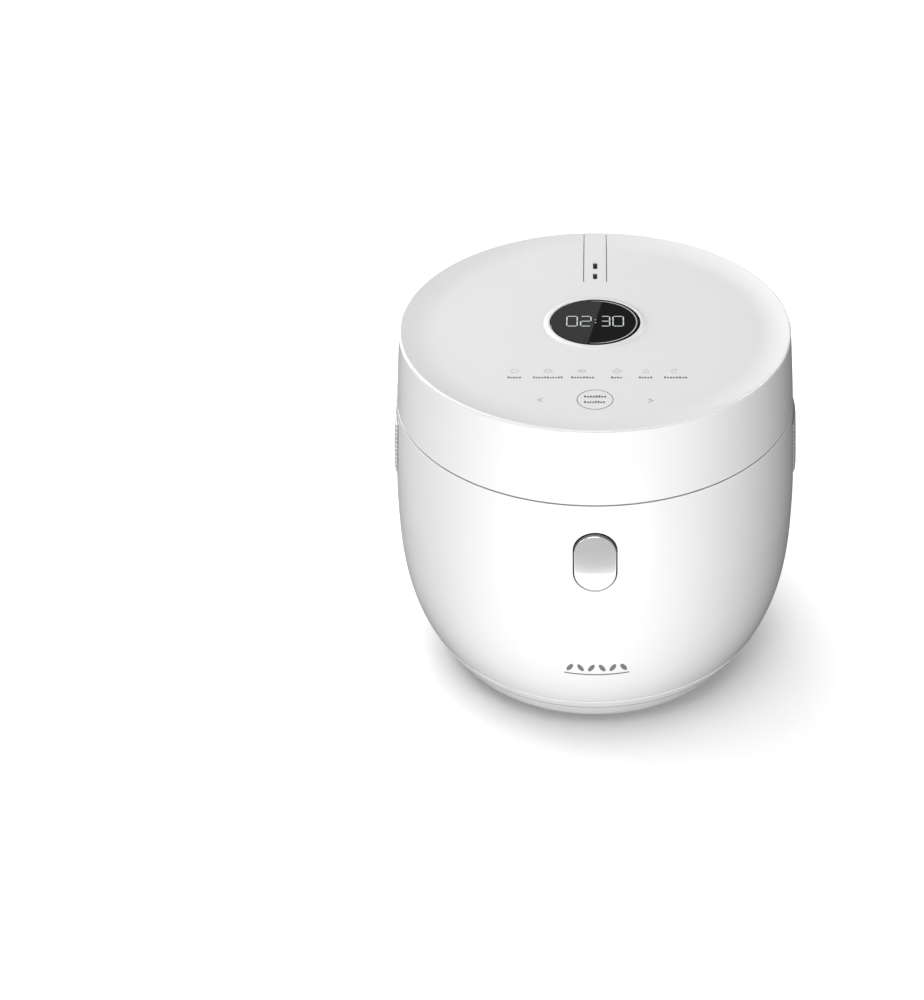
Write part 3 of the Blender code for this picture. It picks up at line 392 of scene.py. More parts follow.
def add(item, *bodies):
    """Merge bodies into a piece, one after another."""
    for bm in bodies:
        combined(item, "UNION", bm)


def dressed(item, material, sharp_deg=32):
    """Give a piece its material and smooth shading, with its sharp edges kept."""
    item.data.materials.clear()
    item.data.materials.append(material)
    item.data.shade_smooth()
    item.data.set_sharp_from_angle(angle=math.radians(sharp_deg))


def stands_for(item, material=None, even=False):
    """Hand a finished piece to the frame in place of the CAD node it is named after."""
    node = item.name.removesuffix("_fine")
    dressed(item, material or FINISH[SLOT_OF[node]])
    if even:
        item.modifiers.new("even_normals", "WEIGHTED_NORMAL").keep_sharp = True
    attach(item, BODY_OF[node])
    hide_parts(node)


def fixed_to(item, body, material):
    """Hand over a piece that has no CAD node of its own, such as a printed mark."""
    dressed(item, material)
    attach(item, body)


# Materials


class Finish:
    """A Principled material with helpers for its procedural detail."""

    def __init__(self, name, roughness, metallic=0.0, **sockets):
        self.material = bpy.data.materials.new(name)
        self.material.use_nodes = True
        self.tree = self.material.node_tree
        self.shader = self.tree.nodes["Principled BSDF"]
        self.fill(self.shader, Roughness=roughness, Metallic=metallic, **sockets)
        self.coordinates = self.node("TexCoord").outputs["Object"]

    def node(self, kind, **inputs):
        """Add a shader node and fill its inputs."""
        node = self.tree.nodes.new(f"ShaderNode{kind}")
        self.fill(node, **inputs)
        return node

    def fill(self, node, **inputs):
        """Fill a node's inputs, each with a constant or from another node's output."""
        for name, value in inputs.items():
            socket = node.inputs[name.replace("_", " ")]
            if isinstance(value, bpy.types.NodeSocket):
                self.tree.links.new(value, socket)
            else:
                socket.default_value = value

    def stretched(self, scale):
        return self.node("Mapping", Vector=self.coordinates, Scale=scale).outputs["Vector"]

    def noise(self, scale, detail=2.0, vector=None):
        where = vector or self.coordinates
        return self.node("TexNoise", Vector=where, Scale=scale, Detail=detail).outputs["Fac"]

    def cells(self, scale):
        return self.node("TexVoronoi", Vector=self.coordinates, Scale=scale).outputs["Distance"]

    def coordinate(self, axis):
        return self.node("SeparateXYZ", Vector=self.coordinates).outputs[axis]

    def carried(self, value, start, end, low, high, kind="LINEAR"):
        """Carry a value that runs from start to end over to low to high."""
        ends = {"From_Min": start, "From_Max": end, "To_Min": low, "To_Max": high}
        span = self.node("MapRange", Value=value, **ends)
        span.interpolation_type = kind
        return span.outputs["Result"]

    def colours(self, value, low, high, start=0.3, end=0.7):
        """Colour the surface from low to high as value goes from start to end."""
        ramp = self.node("ValToRGB", Fac=value)
        for element, place, colour in zip(ramp.color_ramp.elements, (start, end), (low, high)):
            element.position = place
            element.color = (*colour, 1.0)
        self.fill(self.shader, Base_Color=ramp.outputs["Color"])

    def gloss(self, value, low, high):
        """Let roughness follow value between low and high."""
        self.fill(self.shader, Roughness=self.carried(value, 0.3, 0.7, low, high))

    def bumps(self, value, strength, depth):
        """Raise the surface by value, which ends the finish. Returns its material."""
        bump = self.node("Bump", Height=value, Strength=strength, Distance=depth)
        self.fill(self.shader, Normal=bump.outputs["Normal"])
        return self.material

    def painted_shade(self, axis, place, near, far, colour):
        """Paint shade onto the surface where a coordinate is near place, fading out by far."""
        offset = self.node("Math", Value=self.coordinate(axis))
        offset.operation = "SUBTRACT"
        offset.inputs[1].default_value = place
        away = self.node("Math", Value=offset.outputs["Value"])
        away.operation = "ABSOLUTE"
        share = self.carried(away.outputs["Value"], near, far, 1.0, 0.0, "SMOOTHSTEP")
        plain = self.shader.inputs["Base Color"].links[0].from_socket
        mix = self.node("MixRGB", Fac=share, Color1=plain, Color2=(*colour, 1.0))
        self.fill(self.shader, Base_Color=mix.outputs["Color"])


# The painted shade along a seam is as wide as the gap and the small rounding beside it.
SEAM_NEAR = SEAM / 2


def shell_white():
    finish = Finish("shell_white", 0.22, Coat_Weight=0.25, Coat_Roughness=0.12)
    finish.colours(finish.noise(9.0), (0.835, 0.835, 0.838), (0.85, 0.85, 0.852))
    finish.gloss(finish.noise(35.0, 3.0), 0.20, 0.27)
    # Painted shade in the base seam and the lid seam.
    for seam in SEAMS_Z:
        finish.painted_shade("Z", seam, SEAM_NEAR, SEAM_NEAR + 0.00015, (0.40, 0.40, 0.402))
    return finish.bumps(finish.noise(900.0), 0.05, 0.00004)


def cover_white():
    finish = Finish("cover_white", 0.4)
    finish.colours(finish.noise(12.0), (0.80, 0.80, 0.805), (0.83, 0.83, 0.832))
    finish.gloss(finish.noise(60.0, 3.0), 0.36, 0.46)
    # Painted shade in the base seam.
    finish.painted_shade("Z", SEAMS_Z[0], SEAM_NEAR + 0.00002, SEAM_NEAR + 0.0003, (0.42, 0.42, 0.422))
    return finish.bumps(finish.noise(1600.0, 4.0), 0.25, 0.00006)


def collar_grey():
    finish = Finish("collar_grey", 0.42)
    finish.colours(finish.noise(14.0), (0.44, 0.445, 0.455), (0.48, 0.485, 0.49))
    finish.gloss(finish.noise(70.0, 3.0), 0.36, 0.48)
    return finish.bumps(finish.noise(1800.0, 4.0), 0.3, 0.00006)


def black_plastic():
    finish = Finish("black_plastic", 0.4)
    finish.colours(finish.noise(20.0), (0.009, 0.009, 0.0095), (0.015, 0.015, 0.0155))
    finish.gloss(finish.noise(90.0, 3.0), 0.34, 0.48)
    return finish.bumps(finish.noise(2200.0, 4.0), 0.3, 0.00006)


def display_glass():
    finish = Finish("display_glass", 0.01)
    finish.colours(finish.noise(30.0), (0.0030, 0.0030, 0.0033), (0.0045, 0.0045, 0.0048))
    finish.gloss(finish.noise(120.0), 0.008, 0.015)
    return finish.bumps(finish.noise(25.0), 0.01, 0.00001)


def button_silver():
    """Satin metal, with the flange behind the face painted near black as the shade in the gap round
    the button.
    """
    finish = Finish("button_silver", 0.14, 0.6)
    grain = finish.noise(420.0, 3.0)
    finish.colours(grain, (0.82, 0.82, 0.825), (0.84, 0.84, 0.845))
    face_back = room("release_button")[0].y + AXIS_Y + 0.0056
    reach = 0.05
    # Painted shade: everything just behind the face goes near black.
    finish.painted_shade("Y", face_back + reach, reach - 0.0002, reach + 0.0004, (0.035, 0.035, 0.036))
    finish.gloss(grain, 0.13, 0.15)
    return finish.bumps(grain, 0.01, 0.00001)


def stainless_steel():
    finish = Finish("stainless_steel", 0.28, 1.0)
    grain = finish.noise(180.0, 4.0, finish.stretched((1.0, 1.0, 10.0)))
    finish.colours(grain, (0.57, 0.57, 0.58), (0.64, 0.64, 0.65))
    finish.gloss(grain, 0.25, 0.31)
    return finish.bumps(grain, 0.05, 0.00002)


def pot_coating():
    finish = Finish("pot_coating", 0.35)
    finish.colours(finish.cells(1400.0), (0.19, 0.19, 0.20), (0.035, 0.035, 0.038), 0.10, 0.22)
    finish.gloss(finish.noise(80.0, 3.0), 0.30, 0.42)
    return finish.bumps(finish.noise(1200.0, 4.0), 0.2, 0.00005)


def aluminium():
    finish = Finish("aluminium", 0.34, 1.0)
    grain = finish.noise(420.0, 5.0)
    finish.colours(grain, (0.70, 0.70, 0.715), (0.79, 0.79, 0.80))
    finish.gloss(finish.noise(50.0, 3.0), 0.28, 0.40)
    return finish.bumps(grain, 0.1, 0.00003)


def silicone():
    finish = Finish("silicone", 0.5, Subsurface_Weight=0.15, Subsurface_Scale=0.002)
    finish.colours(finish.noise(25.0), (0.70, 0.70, 0.685), (0.76, 0.76, 0.745))
    finish.gloss(finish.noise(110.0, 3.0), 0.44, 0.58)
    return finish.bumps(finish.noise(1500.0, 3.0), 0.15, 0.00004)


def foot_rubber():
    finish = Finish("foot_rubber", 0.8)
    finish.colours(finish.noise(60.0, 4.0), (0.030, 0.030, 0.030), (0.060, 0.060, 0.060))
    finish.gloss(finish.noise(200.0, 3.0), 0.70, 0.88)
    return finish.bumps(finish.noise(1800.0, 4.0), 0.5, 0.00010)


def contact_brass():
    finish = Finish("contact_brass", 0.3, 1.0)
    grain = finish.noise(700.0, 3.0, finish.stretched((1.0, 0.1, 1.0)))
    finish.colours(grain, (0.66, 0.48, 0.22), (0.78, 0.61, 0.32))
    finish.gloss(grain, 0.24, 0.38)
    return finish.bumps(grain, 0.1, 0.00002)


def circuit_board():
    finish = Finish("circuit_board", 0.45)
    finish.colours(finish.cells(260.0), (0.02, 0.11, 0.05), (0.03, 0.22, 0.09), 0.35, 0.42)
    finish.gloss(finish.noise(90.0), 0.38, 0.52)
    return finish.bumps(finish.cells(260.0), 0.2, 0.00005)


def wire_sleeve():
    finish = Finish("wire_sleeve", 0.55)
    finish.colours(finish.noise(60.0), (0.45, 0.09, 0.06), (0.58, 0.14, 0.09))
    finish.gloss(finish.noise(150.0), 0.48, 0.62)
    return finish.bumps(finish.noise(900.0, 3.0), 0.3, 0.00008)


def printed(name, low, high):
    """Thin ink, a little uneven as screen printing is."""
    finish = Finish(name, 0.5)
    finish.colours(finish.noise(1500.0), low, high)
    finish.gloss(finish.noise(400.0), 0.42, 0.56)
    return finish.bumps(finish.noise(2500.0), 0.1, 0.00001)


def lit_segment(name, colour, strength):
    """Ink that glows, for the display's digits."""
    finish = Finish(name, 0.4, Emission_Color=(*colour, 1.0), Emission_Strength=strength)
    low, high = ([share * part for part in colour] for share in (0.25, 0.3))
    finish.colours(finish.noise(900.0), low, high)
    finish.gloss(finish.noise(300.0), 0.35, 0.45)
    return finish.bumps(finish.noise(2500.0), 0.05, 0.00001)


WHITES = (shell_white, cover_white)
PLASTICS = (collar_grey, black_plastic, display_glass, silicone, foot_rubber, wire_sleeve)
METALS = (button_silver, stainless_steel, aluminium, contact_brass)
COATINGS = (pot_coating, circuit_board)
FINISH = {make.__name__: make() for make in WHITES + PLASTICS + METALS + COATINGS}


# Housing


def wall_shell(low, high, levels=56):
    """A closed length of the body's wall with small rounded edges."""
    outside = wall_points(low + EDGE_R * 1.2, high - EDGE_R * 1.2, levels)
    inside = wall_points(low, high, levels // 2, WALL)[::-1]
    return turned(edge_arc(low, 1)[::-1] + outside + edge_arc(high, -1) + inside)


def edge_arc(z, inward):
    """Quarter round from the wall's outside to its end face at height z."""
    points = []
    for degrees in spaced(0, 90, 5):
        angle = math.radians(degrees)
        up = z + inward * EDGE_R * (1 - math.sin(angle))
        points.append((wall_r(z) - EDGE_R * (1 - math.cos(angle)), up))
    return points


def button_outline():
    """Width, height and centre of the release button's face, inside its flange."""
    low, high = room("release_button")
    flange = 0.0025
    width = high.x - low.x - 2 * flange
    return width, high.z - low.z - 2 * flange, (0.0, (low.z + high.z) / 2)


def outer_shell():
    """The one-piece white wall between the base seam and the lid seam."""
    shell = fine(wall_shell(BASE_TOP_Z + SEAM, SHELL_HIGH.z, 88), "outer_shell")
    window = stadium(*button_outline(), 0.0005)
    inlet = rounded(opening(*room("power_inlet")), 0.0015)
    cut(shell, prism(window, -0.140, -0.110, "Y"), prism(inlet, 0.110, 0.140, "Y"))
    posts = []
    for node in BASE_SCREWS:
        at = middle(node)
        post = turned([(0.0020, 0.0125), (0.0045, 0.0125), (0.0045, 0.048), (0.0020, 0.048)], 32)
        posts.append(moved(post, x=at.x, y=at.y))
    with_bodies(shell, posts)
    stands_for(shell)


def with_bodies(item, bodies):
    """Join separate closed bodies to a piece's mesh."""
    extra = as_object(gathered(bodies), "extra")
    bm = bmesh.new()
    bm.from_mesh(item.data)
    bm.from_mesh(extra.data)
    bm.to_mesh(item.data)
    bm.free()
    bpy.data.objects.remove(extra, do_unlink=True)


def base_cover():
    """The bottom shell, with vents, screw recesses and holes for the feet."""
    floor_z = room("base_cover")[0].z
    edge_r = wall_r(0.006)
    outside = [(0.0, floor_z)]
    foot_of_wall = (wall_r(0.0065), 0.0065)
    outside += bend((edge_r - 0.008, floor_z), (edge_r - 0.002, floor_z + 0.0008), foot_of_wall)
    outside += wall_points(0.0075, BASE_TOP_Z - EDGE_R * 1.2, 20)
    outside += edge_arc(BASE_TOP_Z, -1)
    inside = wall_points(0.010, BASE_TOP_Z, 10, WALL)[::-1]
    inside += [(edge_r - 0.008, floor_z + WALL), (0.0, floor_z + WALL)]
    cover = fine(turned(outside + inside), "base_cover")

    holes = []
    for nodes, radius, top, count in ((BASE_SCREWS, 0.0042, 0.0074, 40), (FEET, 0.0028, 0.0100, 32)):
        for node in nodes:
            at = middle(node)
            holes.append(rod(radius, 0.0, top, (at.x, at.y), count=count))
    vents = 14
    for k in range(vents):
        slot = prism(stadium(0.0045, 0.022, (0.0, 0.051), count=9), 0.0, 0.010)
        holes.append(moved(slot, turn_deg=360 * k / vents - 90))
    cut(cover, gathered(holes))
    stands_for(cover)


def feet():
    """Rubber feet with a ringed tread."""
    top = room("base_cover")[0].z - FIT
    for node in FEET:
        low, high = room(node)
        at = middle(node)
        radius = (high.x - low.x) / 2
        profile = [(0.0, 0.0)]
        for ring in (0.35, 0.62):
            groove = radius * ring
            profile += [(groove, 0.0), (groove + 0.0003, 0.0004), (groove + 0.0009, 0.0004)]
            profile += [(groove + 0.0012, 0.0)]
        profile += arc((radius - 0.0008, 0.0008), 0.0008, -90, 0, 6)
        profile += arc((radius - 0.0003, top - 0.0003), 0.0003, 0, 90, 4)
        profile += [(0.0025, top), (0.0025, high.z - 0.0004), (0.0021, high.z), (0.0, high.z)]
        foot = fine(moved(turned(profile, 64), x=at.x, y=at.y), node)
        stands_for(foot)


def base_screws():
    """Pan-head screws with a cross recess and a threaded shank."""
    head_r = 0.0035
    shank_r = 0.0017
    head_top = 0.0066
    pitch = 0.0011
    for node in BASE_SCREWS:
        low, high = room(node)
        at = middle(node)
        profile = [(0.0, low.z), (0.0022, low.z), (0.0030, low.z + 0.0003)]
        profile += [(head_r, low.z + 0.0009), (head_r, head_top), (shank_r, head_top)]
        thread_z = head_top + 0.0010
        for k in range(int((high.z - 0.0020 - thread_z) / pitch)):
            z = thread_z + k * pitch
            profile += [(shank_r - 0.0004, z), (shank_r, z + pitch * 0.5)]
        profile += [(shank_r - 0.0003, high.z - 0.0018), (0.0, high.z)]
        screw = fine(moved(turned(profile, 32), x=at.x, y=at.y), node)
        for half_x, half_y in ((0.0019, 0.00045), (0.00045, 0.0019)):
            slot = box((-half_x, -half_y, 0.0040), (half_x, half_y, 0.0056))
            cut(screw, moved(slot, x=at.x, y=at.y))
        stands_for(screw)


def side_grips():
    """Ribbed pads that follow the wall on both flanks, their ribs fading at the ends."""
    low, high = room("side_grip_right")
    ribs = 12
    pitch = (high.z - low.z) / ribs
    spread = math.asin(high.y / BODY_R)
    backing = 0.0003
    proud = 0.00115
    for name, facing in (("side_grip_right", 0.0), ("side_grip_left", math.pi)):
        rings = []
        for share in spaced(-1.0, 1.0, 121):
            lift = smooth((1 - abs(share)) / 0.07)
            ring = wall_points(high.z, low.z, 25, -backing)
            for rib in range(ribs):
                for t in spaced(0.0, 0.92, 9):
                    z = low.z + (rib + t) * pitch
                    hump = 0.10 + 0.90 * abs(math.sin(math.pi * t)) ** 0.7
                    edge = smooth(min(z - low.z, high.z - z) / 0.0006)
                    ring.append((wall_r(z) + backing + 0.00002 + proud * hump * lift * edge, z))
            rings.append([(*polar((0.0, 0.0), r, facing + spread * share), z) for r, z in ring])
        stands_for(fine(skinned(rings, capped=True), name), FINISH["collar_grey"])


def release_button():
    """Dished stadium-shaped button with a soft rounded edge, its flange and stem."""
    back_y = room("release_button")[1].y
    width, height, centre = button_outline()
    shrink = 0.0003
    dish = 0.0014
    foot_z = centre[1] - height / 2
    drop = 0.0030
    face_height = height - drop
    face_centre = (0.0, centre[1] - drop / 2)
    flange_y = -0.1212
    flange_t = 0.0018

    def front_y(x, z, sunk):
        share = min(1.0, max(0.0, (z - foot_z) / height))
        radius = wall_r(z) - 0.0004 - dish * share**2 - sunk
        return -math.sqrt(radius * radius - x * x)

    def ring_at(grow, sunk):
        outline = stadium(width, face_height, face_centre, grow)
        return [(x, front_y(x, z, sunk), z) for x, z in outline]

    half = width / 2 - shrink
    rings = []
    for share in spaced(0.0, 0.93, 14):
        rings.append(ring_at(half * share - width / 2 + 0.00001, 0.0))
    edge = 0.0004
    for degrees in spaced(0, 90, 6):
        angle = math.radians(degrees)
        grow = -shrink - edge * (1 - math.sin(angle))
        rings.append(ring_at(grow, edge * (1 - math.cos(angle))))
    rings.append([(x, flange_y, z) for x, z in stadium(width, face_height, face_centre, -shrink)])
    for y in (flange_y, flange_y + flange_t):
        rings.append([(x, y, z) for x, z in stadium(width, height, centre, 0.0024)])
    body = skinned(rings, capped=True)
    stem_z = LATCH_AT.z - 0.020
    stem_y = flange_y + flange_t + 0.0001
    stem = box((-0.004, stem_y, stem_z - 0.001), (0.004, back_y, stem_z + 0.001))
    stands_for(fine(gathered([body, stem]), "release_button"))


# Back: inlet and hinge


def power_inlet():
    """Appliance inlet with a lip, a chamfered cavity and rounded edges."""
    low, high = room("power_inlet")
    inlet = fine(softened(box(low, high), 0.0007), "power_inlet")
    half_w = 0.01225
    half_h = 0.00825
    chamfer = 0.005
    floor_z = (low.z + high.z) / 2 - half_h
    top_z = floor_z + 2 * half_h
    cavity = [(-half_w, floor_z), (half_w, floor_z), (half_w, top_z - chamfer)]
    cavity += [(half_w - chamfer, top_z), (chamfer - half_w, top_z), (-half_w, top_z - chamfer)]
    cut(inlet, prism(rounded(cavity, 0.0008), low.y + 0.0025, 0.130, "Y"))
    for node in ("inlet_pin_live", "inlet_pin_neutral", "inlet_pin_earth"):
        low, high = room(node)
        cut(inlet, prism(opening(low, high), 0.100, 0.110, "Y"))
        stands_for(fine(softened(box(low, high), 0.0004), node), even=True)
    stands_for(inlet, even=True)


def hinge():
    """Pressed bracket, its pin and springs."""
    at = (HINGE_AT.y, HINGE_AT.z)
    low, high = room("hinge_bracket")
    ear_low = 0.018
    plate = softened(box(low, (high.x, low.y + 0.0024, 0.178)), 0.0005)
    bracket = fine(plate, "hinge_bracket")
    cheek = [(low.y, 0.164), (0.1320, 0.164), (at[0] + KNUCKLE_R, 0.180)]
    cheek += [(at[0] + KNUCKLE_R, at[1]), (low.y, at[1])]
    for side in (-1, 1):
        near, far = sorted((side * ear_low, side * high.x))
        knuckle = softened(rod(KNUCKLE_R, near, far, at, "X", 64), 0.0005)
        add(bracket, prism(cheek, near, far, "X"), knuckle)
    cut(bracket, rod(0.0022, -0.030, 0.030, at, "X"))
    stands_for(bracket, even=True)

    low, high = room("hinge_pin")
    pin = softened(rod((high.z - low.z) / 2, low.x, high.x, at, "X"), 0.0005)
    stands_for(fine(pin, "hinge_pin"), even=True)
    for node in ("hinge_spring_left", "hinge_spring_right"):
        low, high = room(node)
        stands_for(fine(coil(0.0034, 0.00055, low.x, high.x, 5, at), node))


def hinge_cover():
    """Moulded cover below the hinge, hollow, its front edge shaped to the wall."""
    low, high = room("hinge_cover")
    skin = 0.0018
    outside = [(0.112, low.z, 0.0), (0.130, low.z + 0.002), (high.y, 0.166)]
    outside += [(high.y, high.z, 0.0008), (0.112, high.z, 0.0)]
    block = prism(rounded(outside, 0.004, 7), low.x, high.x, "X")
    cover = fine(softened(block, 0.0012, 4, 50), "hinge_cover")
    inside = [(0.110, low.z + skin), (0.1292, low.z + 0.004), (high.y - skin, 0.1668)]
    inside += [(high.y - skin, 0.190), (0.110, 0.190)]
    hollow = prism(rounded(inside, 0.0020), low.x + skin, high.x - skin, "X")
    wall = [(0.0, 0.150)] + wall_points(0.150, 0.190, 24, -FIT) + [(0.0, 0.190)]
    cut(cover, hollow, turned(wall))
    stands_for(cover, even=True)


# Inside: collar, pot and basket


def upper_collar():
    """The deck round the pot, with a drip channel and the latch slot."""
    low, high = room("upper_collar")
    bore_r = 0.1014
    channel_r = 0.1115
    top = high.z
    channel_z = top - 0.0009
    under_z = top - 0.0025
    profile = wall_points(low.z, top - 0.0005, 14, WALL + FIT)
    profile += [(wall_r(top) - WALL - FIT - 0.0005, top)]
    profile += [(channel_r + 0.0030, top), (channel_r + 0.0022, channel_z)]
    profile += [(channel_r - 0.0022, channel_z), (channel_r - 0.0030, top)]
    profile += [(bore_r + 0.0025, top)]
    profile += arc((bore_r + 0.0015, top - 0.0015), 0.0015, 90, 180, 7)
    profile += [(bore_r, 0.1765), (bore_r + 0.0018, 0.1765), (bore_r + 0.0025, under_z)]
    profile += [(0.1178, under_z), (0.1196, low.z)]
    collar = fine(turned(profile), "upper_collar")
    slot = rounded(rectangle((-0.0105, -0.1205), (0.0105, -0.1090)), 0.0012)
    notch = box((-0.019, -0.130, 0.160), (0.019, -0.112, 0.1755))
    cut(collar, prism(slot, 0.176, 0.190), notch)
    stands_for(collar)


def vessel(radius, wall, bottom_z, corner_r, top):
    """Outline of an open round vessel. top closes it at the rim, outside first."""
    outer_corner = (radius - corner_r, bottom_z + corner_r)
    profile = [(0.0, bottom_z)]
    profile += arc(outer_corner, corner_r, -90, 0, 16)
    profile += top
    profile += arc(outer_corner, corner_r - wall, 0, -90, 16)
    profile.append((0.0, bottom_z + wall))
    return profile


def inner_pot():
    """Coated cooking pot with a rolled rim and pressed water-level lines."""
    low, high = room("inner_pot")
    radius = 0.1002
    wall = 0.0020
    inside_r = radius - wall
    roll_r = 0.0006
    rim_z = high.z - 2 * roll_r
    rim = [(radius, rim_z)]
    rim += arc((high.x - roll_r, rim_z + roll_r), roll_r, -90, 90, 8)
    rim += bend((radius - 0.0002, high.z), (inside_r, high.z), (inside_r, high.z - 0.0018))
    for level in range(4):
        z = 0.142 - 0.014 * level
        rim += [(inside_r, z + 0.0006), (inside_r - 0.0003, z + 0.0003), (inside_r, z)]
    stands_for(fine(turned(vessel(radius, wall, low.z, 0.014, rim)), "inner_pot"))


def rice_basket():
    """Perforated draining insert that hangs on the pot's rim."""
    low, high = room("rice_basket")
    radius = 0.0955
    wall = 0.0008
    inside_r = radius - wall
    rim_z = high.z - wall
    rim = bend((radius, rim_z - 0.002), (radius, rim_z), (radius + 0.002, rim_z))
    rim += arc((high.x - wall / 2, rim_z + wall / 2), wall / 2, -90, 90, 8)
    rim += bend((radius + 0.0016, high.z), (inside_r, high.z), (inside_r, high.z - 0.0024))
    basket = fine(turned(vessel(radius, wall, low.z, 0.012, rim)), "rice_basket")
    hole_r = 0.0017
    pitch = 0.0085
    holes = []
    for ring in range(1, 9):
        for k in range(6 * ring):
            at = polar((0.0, 0.0), ring * pitch, 2 * math.pi * k / (6 * ring))
            holes.append(rod(hole_r, low.z - 0.004, low.z + 0.004, at, count=12))
    cut(basket, gathered(holes))
    stands_for(basket)


# Lid


def strip_box(grow, low_z, front_gap=0.0):
    """The block of space that the vent strip takes out of the lid's skin."""
    half_w = STRIP_HIGH.x + grow
    outline = rectangle((-half_w, STRIP_LOW.y + front_gap), (half_w, 0.135))
    return prism(rounded(outline, 0.0009), low_z, 0.245)


def lid_ring():
    """Side wall of the lid, notched behind for the hinge arm and the vent strip."""
    ring = fine(wall_shell(LID_LOW_Z, PANEL_SEAM_Z, 40), "lid_ring")
    arm_w = 0.0103
    arm_notch = box((-arm_w, 0.105, 0.185), (arm_w, 0.135, 0.1958))
    cut(ring, arm_notch, strip_box(STRIP_GAP, STRIP_LOW.z - 0.0004))
    stands_for(ring)


def crest_points():
    """Outline from the dish's flat part over the rim and down to the lid's seam."""
    points = [(r, dish_z(r)) for r in spaced(DISH_FLAT_R, RIM_CREST_R, 26)]
    outer = wall_r(HEIGHT) - 0.0002
    points += bend((RIM_CREST_R + 0.0002, HEIGHT), (outer, HEIGHT), (outer, HEIGHT - 0.0008), 9)
    points.append((outer, PANEL_SEAM_Z + 0.0001))
    return points


def skirt_points():
    """Underside of the panel's rim, from the seam back to below the flat part."""
    lip_r = wall_r(HEIGHT) - WALL - 0.0002
    back_r = lip_r - 0.0020
    low_z = DISH_Z - 0.0020
    lip = [(lip_r, PANEL_SEAM_Z + 0.0001), (lip_r, low_z), (back_r, low_z)]
    return lip + [(back_r, dish_z(back_r) - PANEL_T), (DISH_FLAT_R, DISH_Z - PANEL_T)]


def bezel_lift(distance):
    """Height of the soft ring round the display at a distance from its middle."""
    share = (distance - DISPLAY_R) / (BEZEL_R - DISPLAY_R)
    if share <= BEZEL_CREST:
        return BEZEL_H * (0.60 + 0.12 * smooth(share / BEZEL_CREST))
    return BEZEL_H * 0.72 * (1 - smooth((share - BEZEL_CREST) / (1 - BEZEL_CREST)))


def lid_top_panel():
    """Dished top skin, with a soft raised ring round the display."""
    hole_r = DISPLAY_R + FIT
    bezel_r = BEZEL_R + 0.0006

    def ring(centre_y, radius, z=None):
        points = []
        for step in range(TURN_STEPS):
            x, y = polar((0.0, centre_y), radius, 2 * math.pi * step / TURN_STEPS)
            lift = bezel_lift(math.hypot(x, y - DISPLAY_Y))
            points.append((x, y, DISH_Z + lift if z is None else z))
        return points

    rings = [ring(DISPLAY_Y, radius) for radius in spaced(hole_r, bezel_r, 24)]
    for share in spaced(0.0, 1.0, 14)[1:-1]:
        radius = bezel_r * (1 - share) + DISH_FLAT_R * share
        rings.append(ring(DISPLAY_Y * (1 - share), radius))
    rings += [ring(0.0, radius, z) for radius, z in crest_points()]
    rings += [ring(0.0, radius, z) for radius, z in skirt_points()]
    rings.append(ring(DISPLAY_Y, hole_r, DISH_Z - PANEL_T))
    panel = fine(skinned(rings, joined=True), "lid_top_panel")
    cut(panel, strip_box(STRIP_GAP, 0.225))
    stands_for(panel)


def steam_vent():
    """Lift-off vent strip in the lid's skin, with its two steam slots."""
    body = [(0.0, DISH_Z)] + crest_points() + skirt_points() + [(0.0, DISH_Z - PANEL_T)]
    cap = fine(turned(body), "steam_vent_cap")
    low_z = STRIP_LOW.z - 0.002
    outer = wall_points(low_z, PANEL_SEAM_Z, 12)
    inner = wall_points(low_z, HEIGHT - 0.0012, 12, WALL)[::-1]
    add(cap, turned(outer + inner))
    combined(cap, "INTERSECT", strip_box(-STRIP_GAP / 2, STRIP_LOW.z, 0.0001))
    half_w = 0.0014
    for low_y, high_y in ((0.0614, 0.0694), (0.0748, 0.0836)):
        slot = rounded(rectangle((-half_w, low_y), (half_w, high_y)), 0.0004)
        cut(cap, prism(slot, 0.225, 0.240))
    stands_for(cap)


def vent_gap_shade():
    """Near-black sheet in the gap along the vent strip, and the baffle below its slots, as painted
    shade.
    """
    sunk = 0.0007
    outer = wall_r(HEIGHT) - 0.0002 - sunk
    inner = outer - 0.0012
    low_z = STRIP_LOW.z + 0.0005
    under_z = DISH_Z - 0.0020
    body = [(0.0, DISH_Z - sunk)]
    body += [(r, dish_z(r) - sunk) for r in spaced(DISH_FLAT_R, outer, 24)]
    body += [(outer, low_z), (inner, low_z), (inner, under_z), (0.0, under_z)]
    shade_sheet = as_object(turned(body), "steam_vent_seal")
    combined(shade_sheet, "INTERSECT", strip_box(STRIP_GAP - 0.00008, STRIP_LOW.z, 0.0012))
    cut(shade_sheet, box((-0.0060, STRIP_LOW.y + 0.0002, 0.220), (0.0060, 0.130, under_z + 0.0004)))
    # The black finish here is painted shade, where the real strip has only a gap.
    fixed_to(shade_sheet, "steam_vent", FINISH["black_plastic"])


def steam_cup():
    """The cup below the vent strip and the ring that seals it."""
    low, high = room("steam_cup")
    at = middle("steam_seal")
    skin = 0.0012
    cup = fine(softened(box(low, high), 0.0010), "steam_cup")
    hollow = box((low.x + skin, low.y + skin, low.z + skin), (high.x - skin, high.y - skin, 0.24))
    cut(cup, hollow, rod(0.0040, 0.200, 0.215, (at.x, at.y)))
    stands_for(cup, even=True)

    low, high = room("steam_seal")
    outer_r = (high.x - low.x) / 2
    section = rounded(rectangle((outer_r - 0.0016, low.z), (outer_r, high.z)), 0.0004)
    stands_for(fine(moved(turned(section, 64), y=at.y), "steam_seal"))


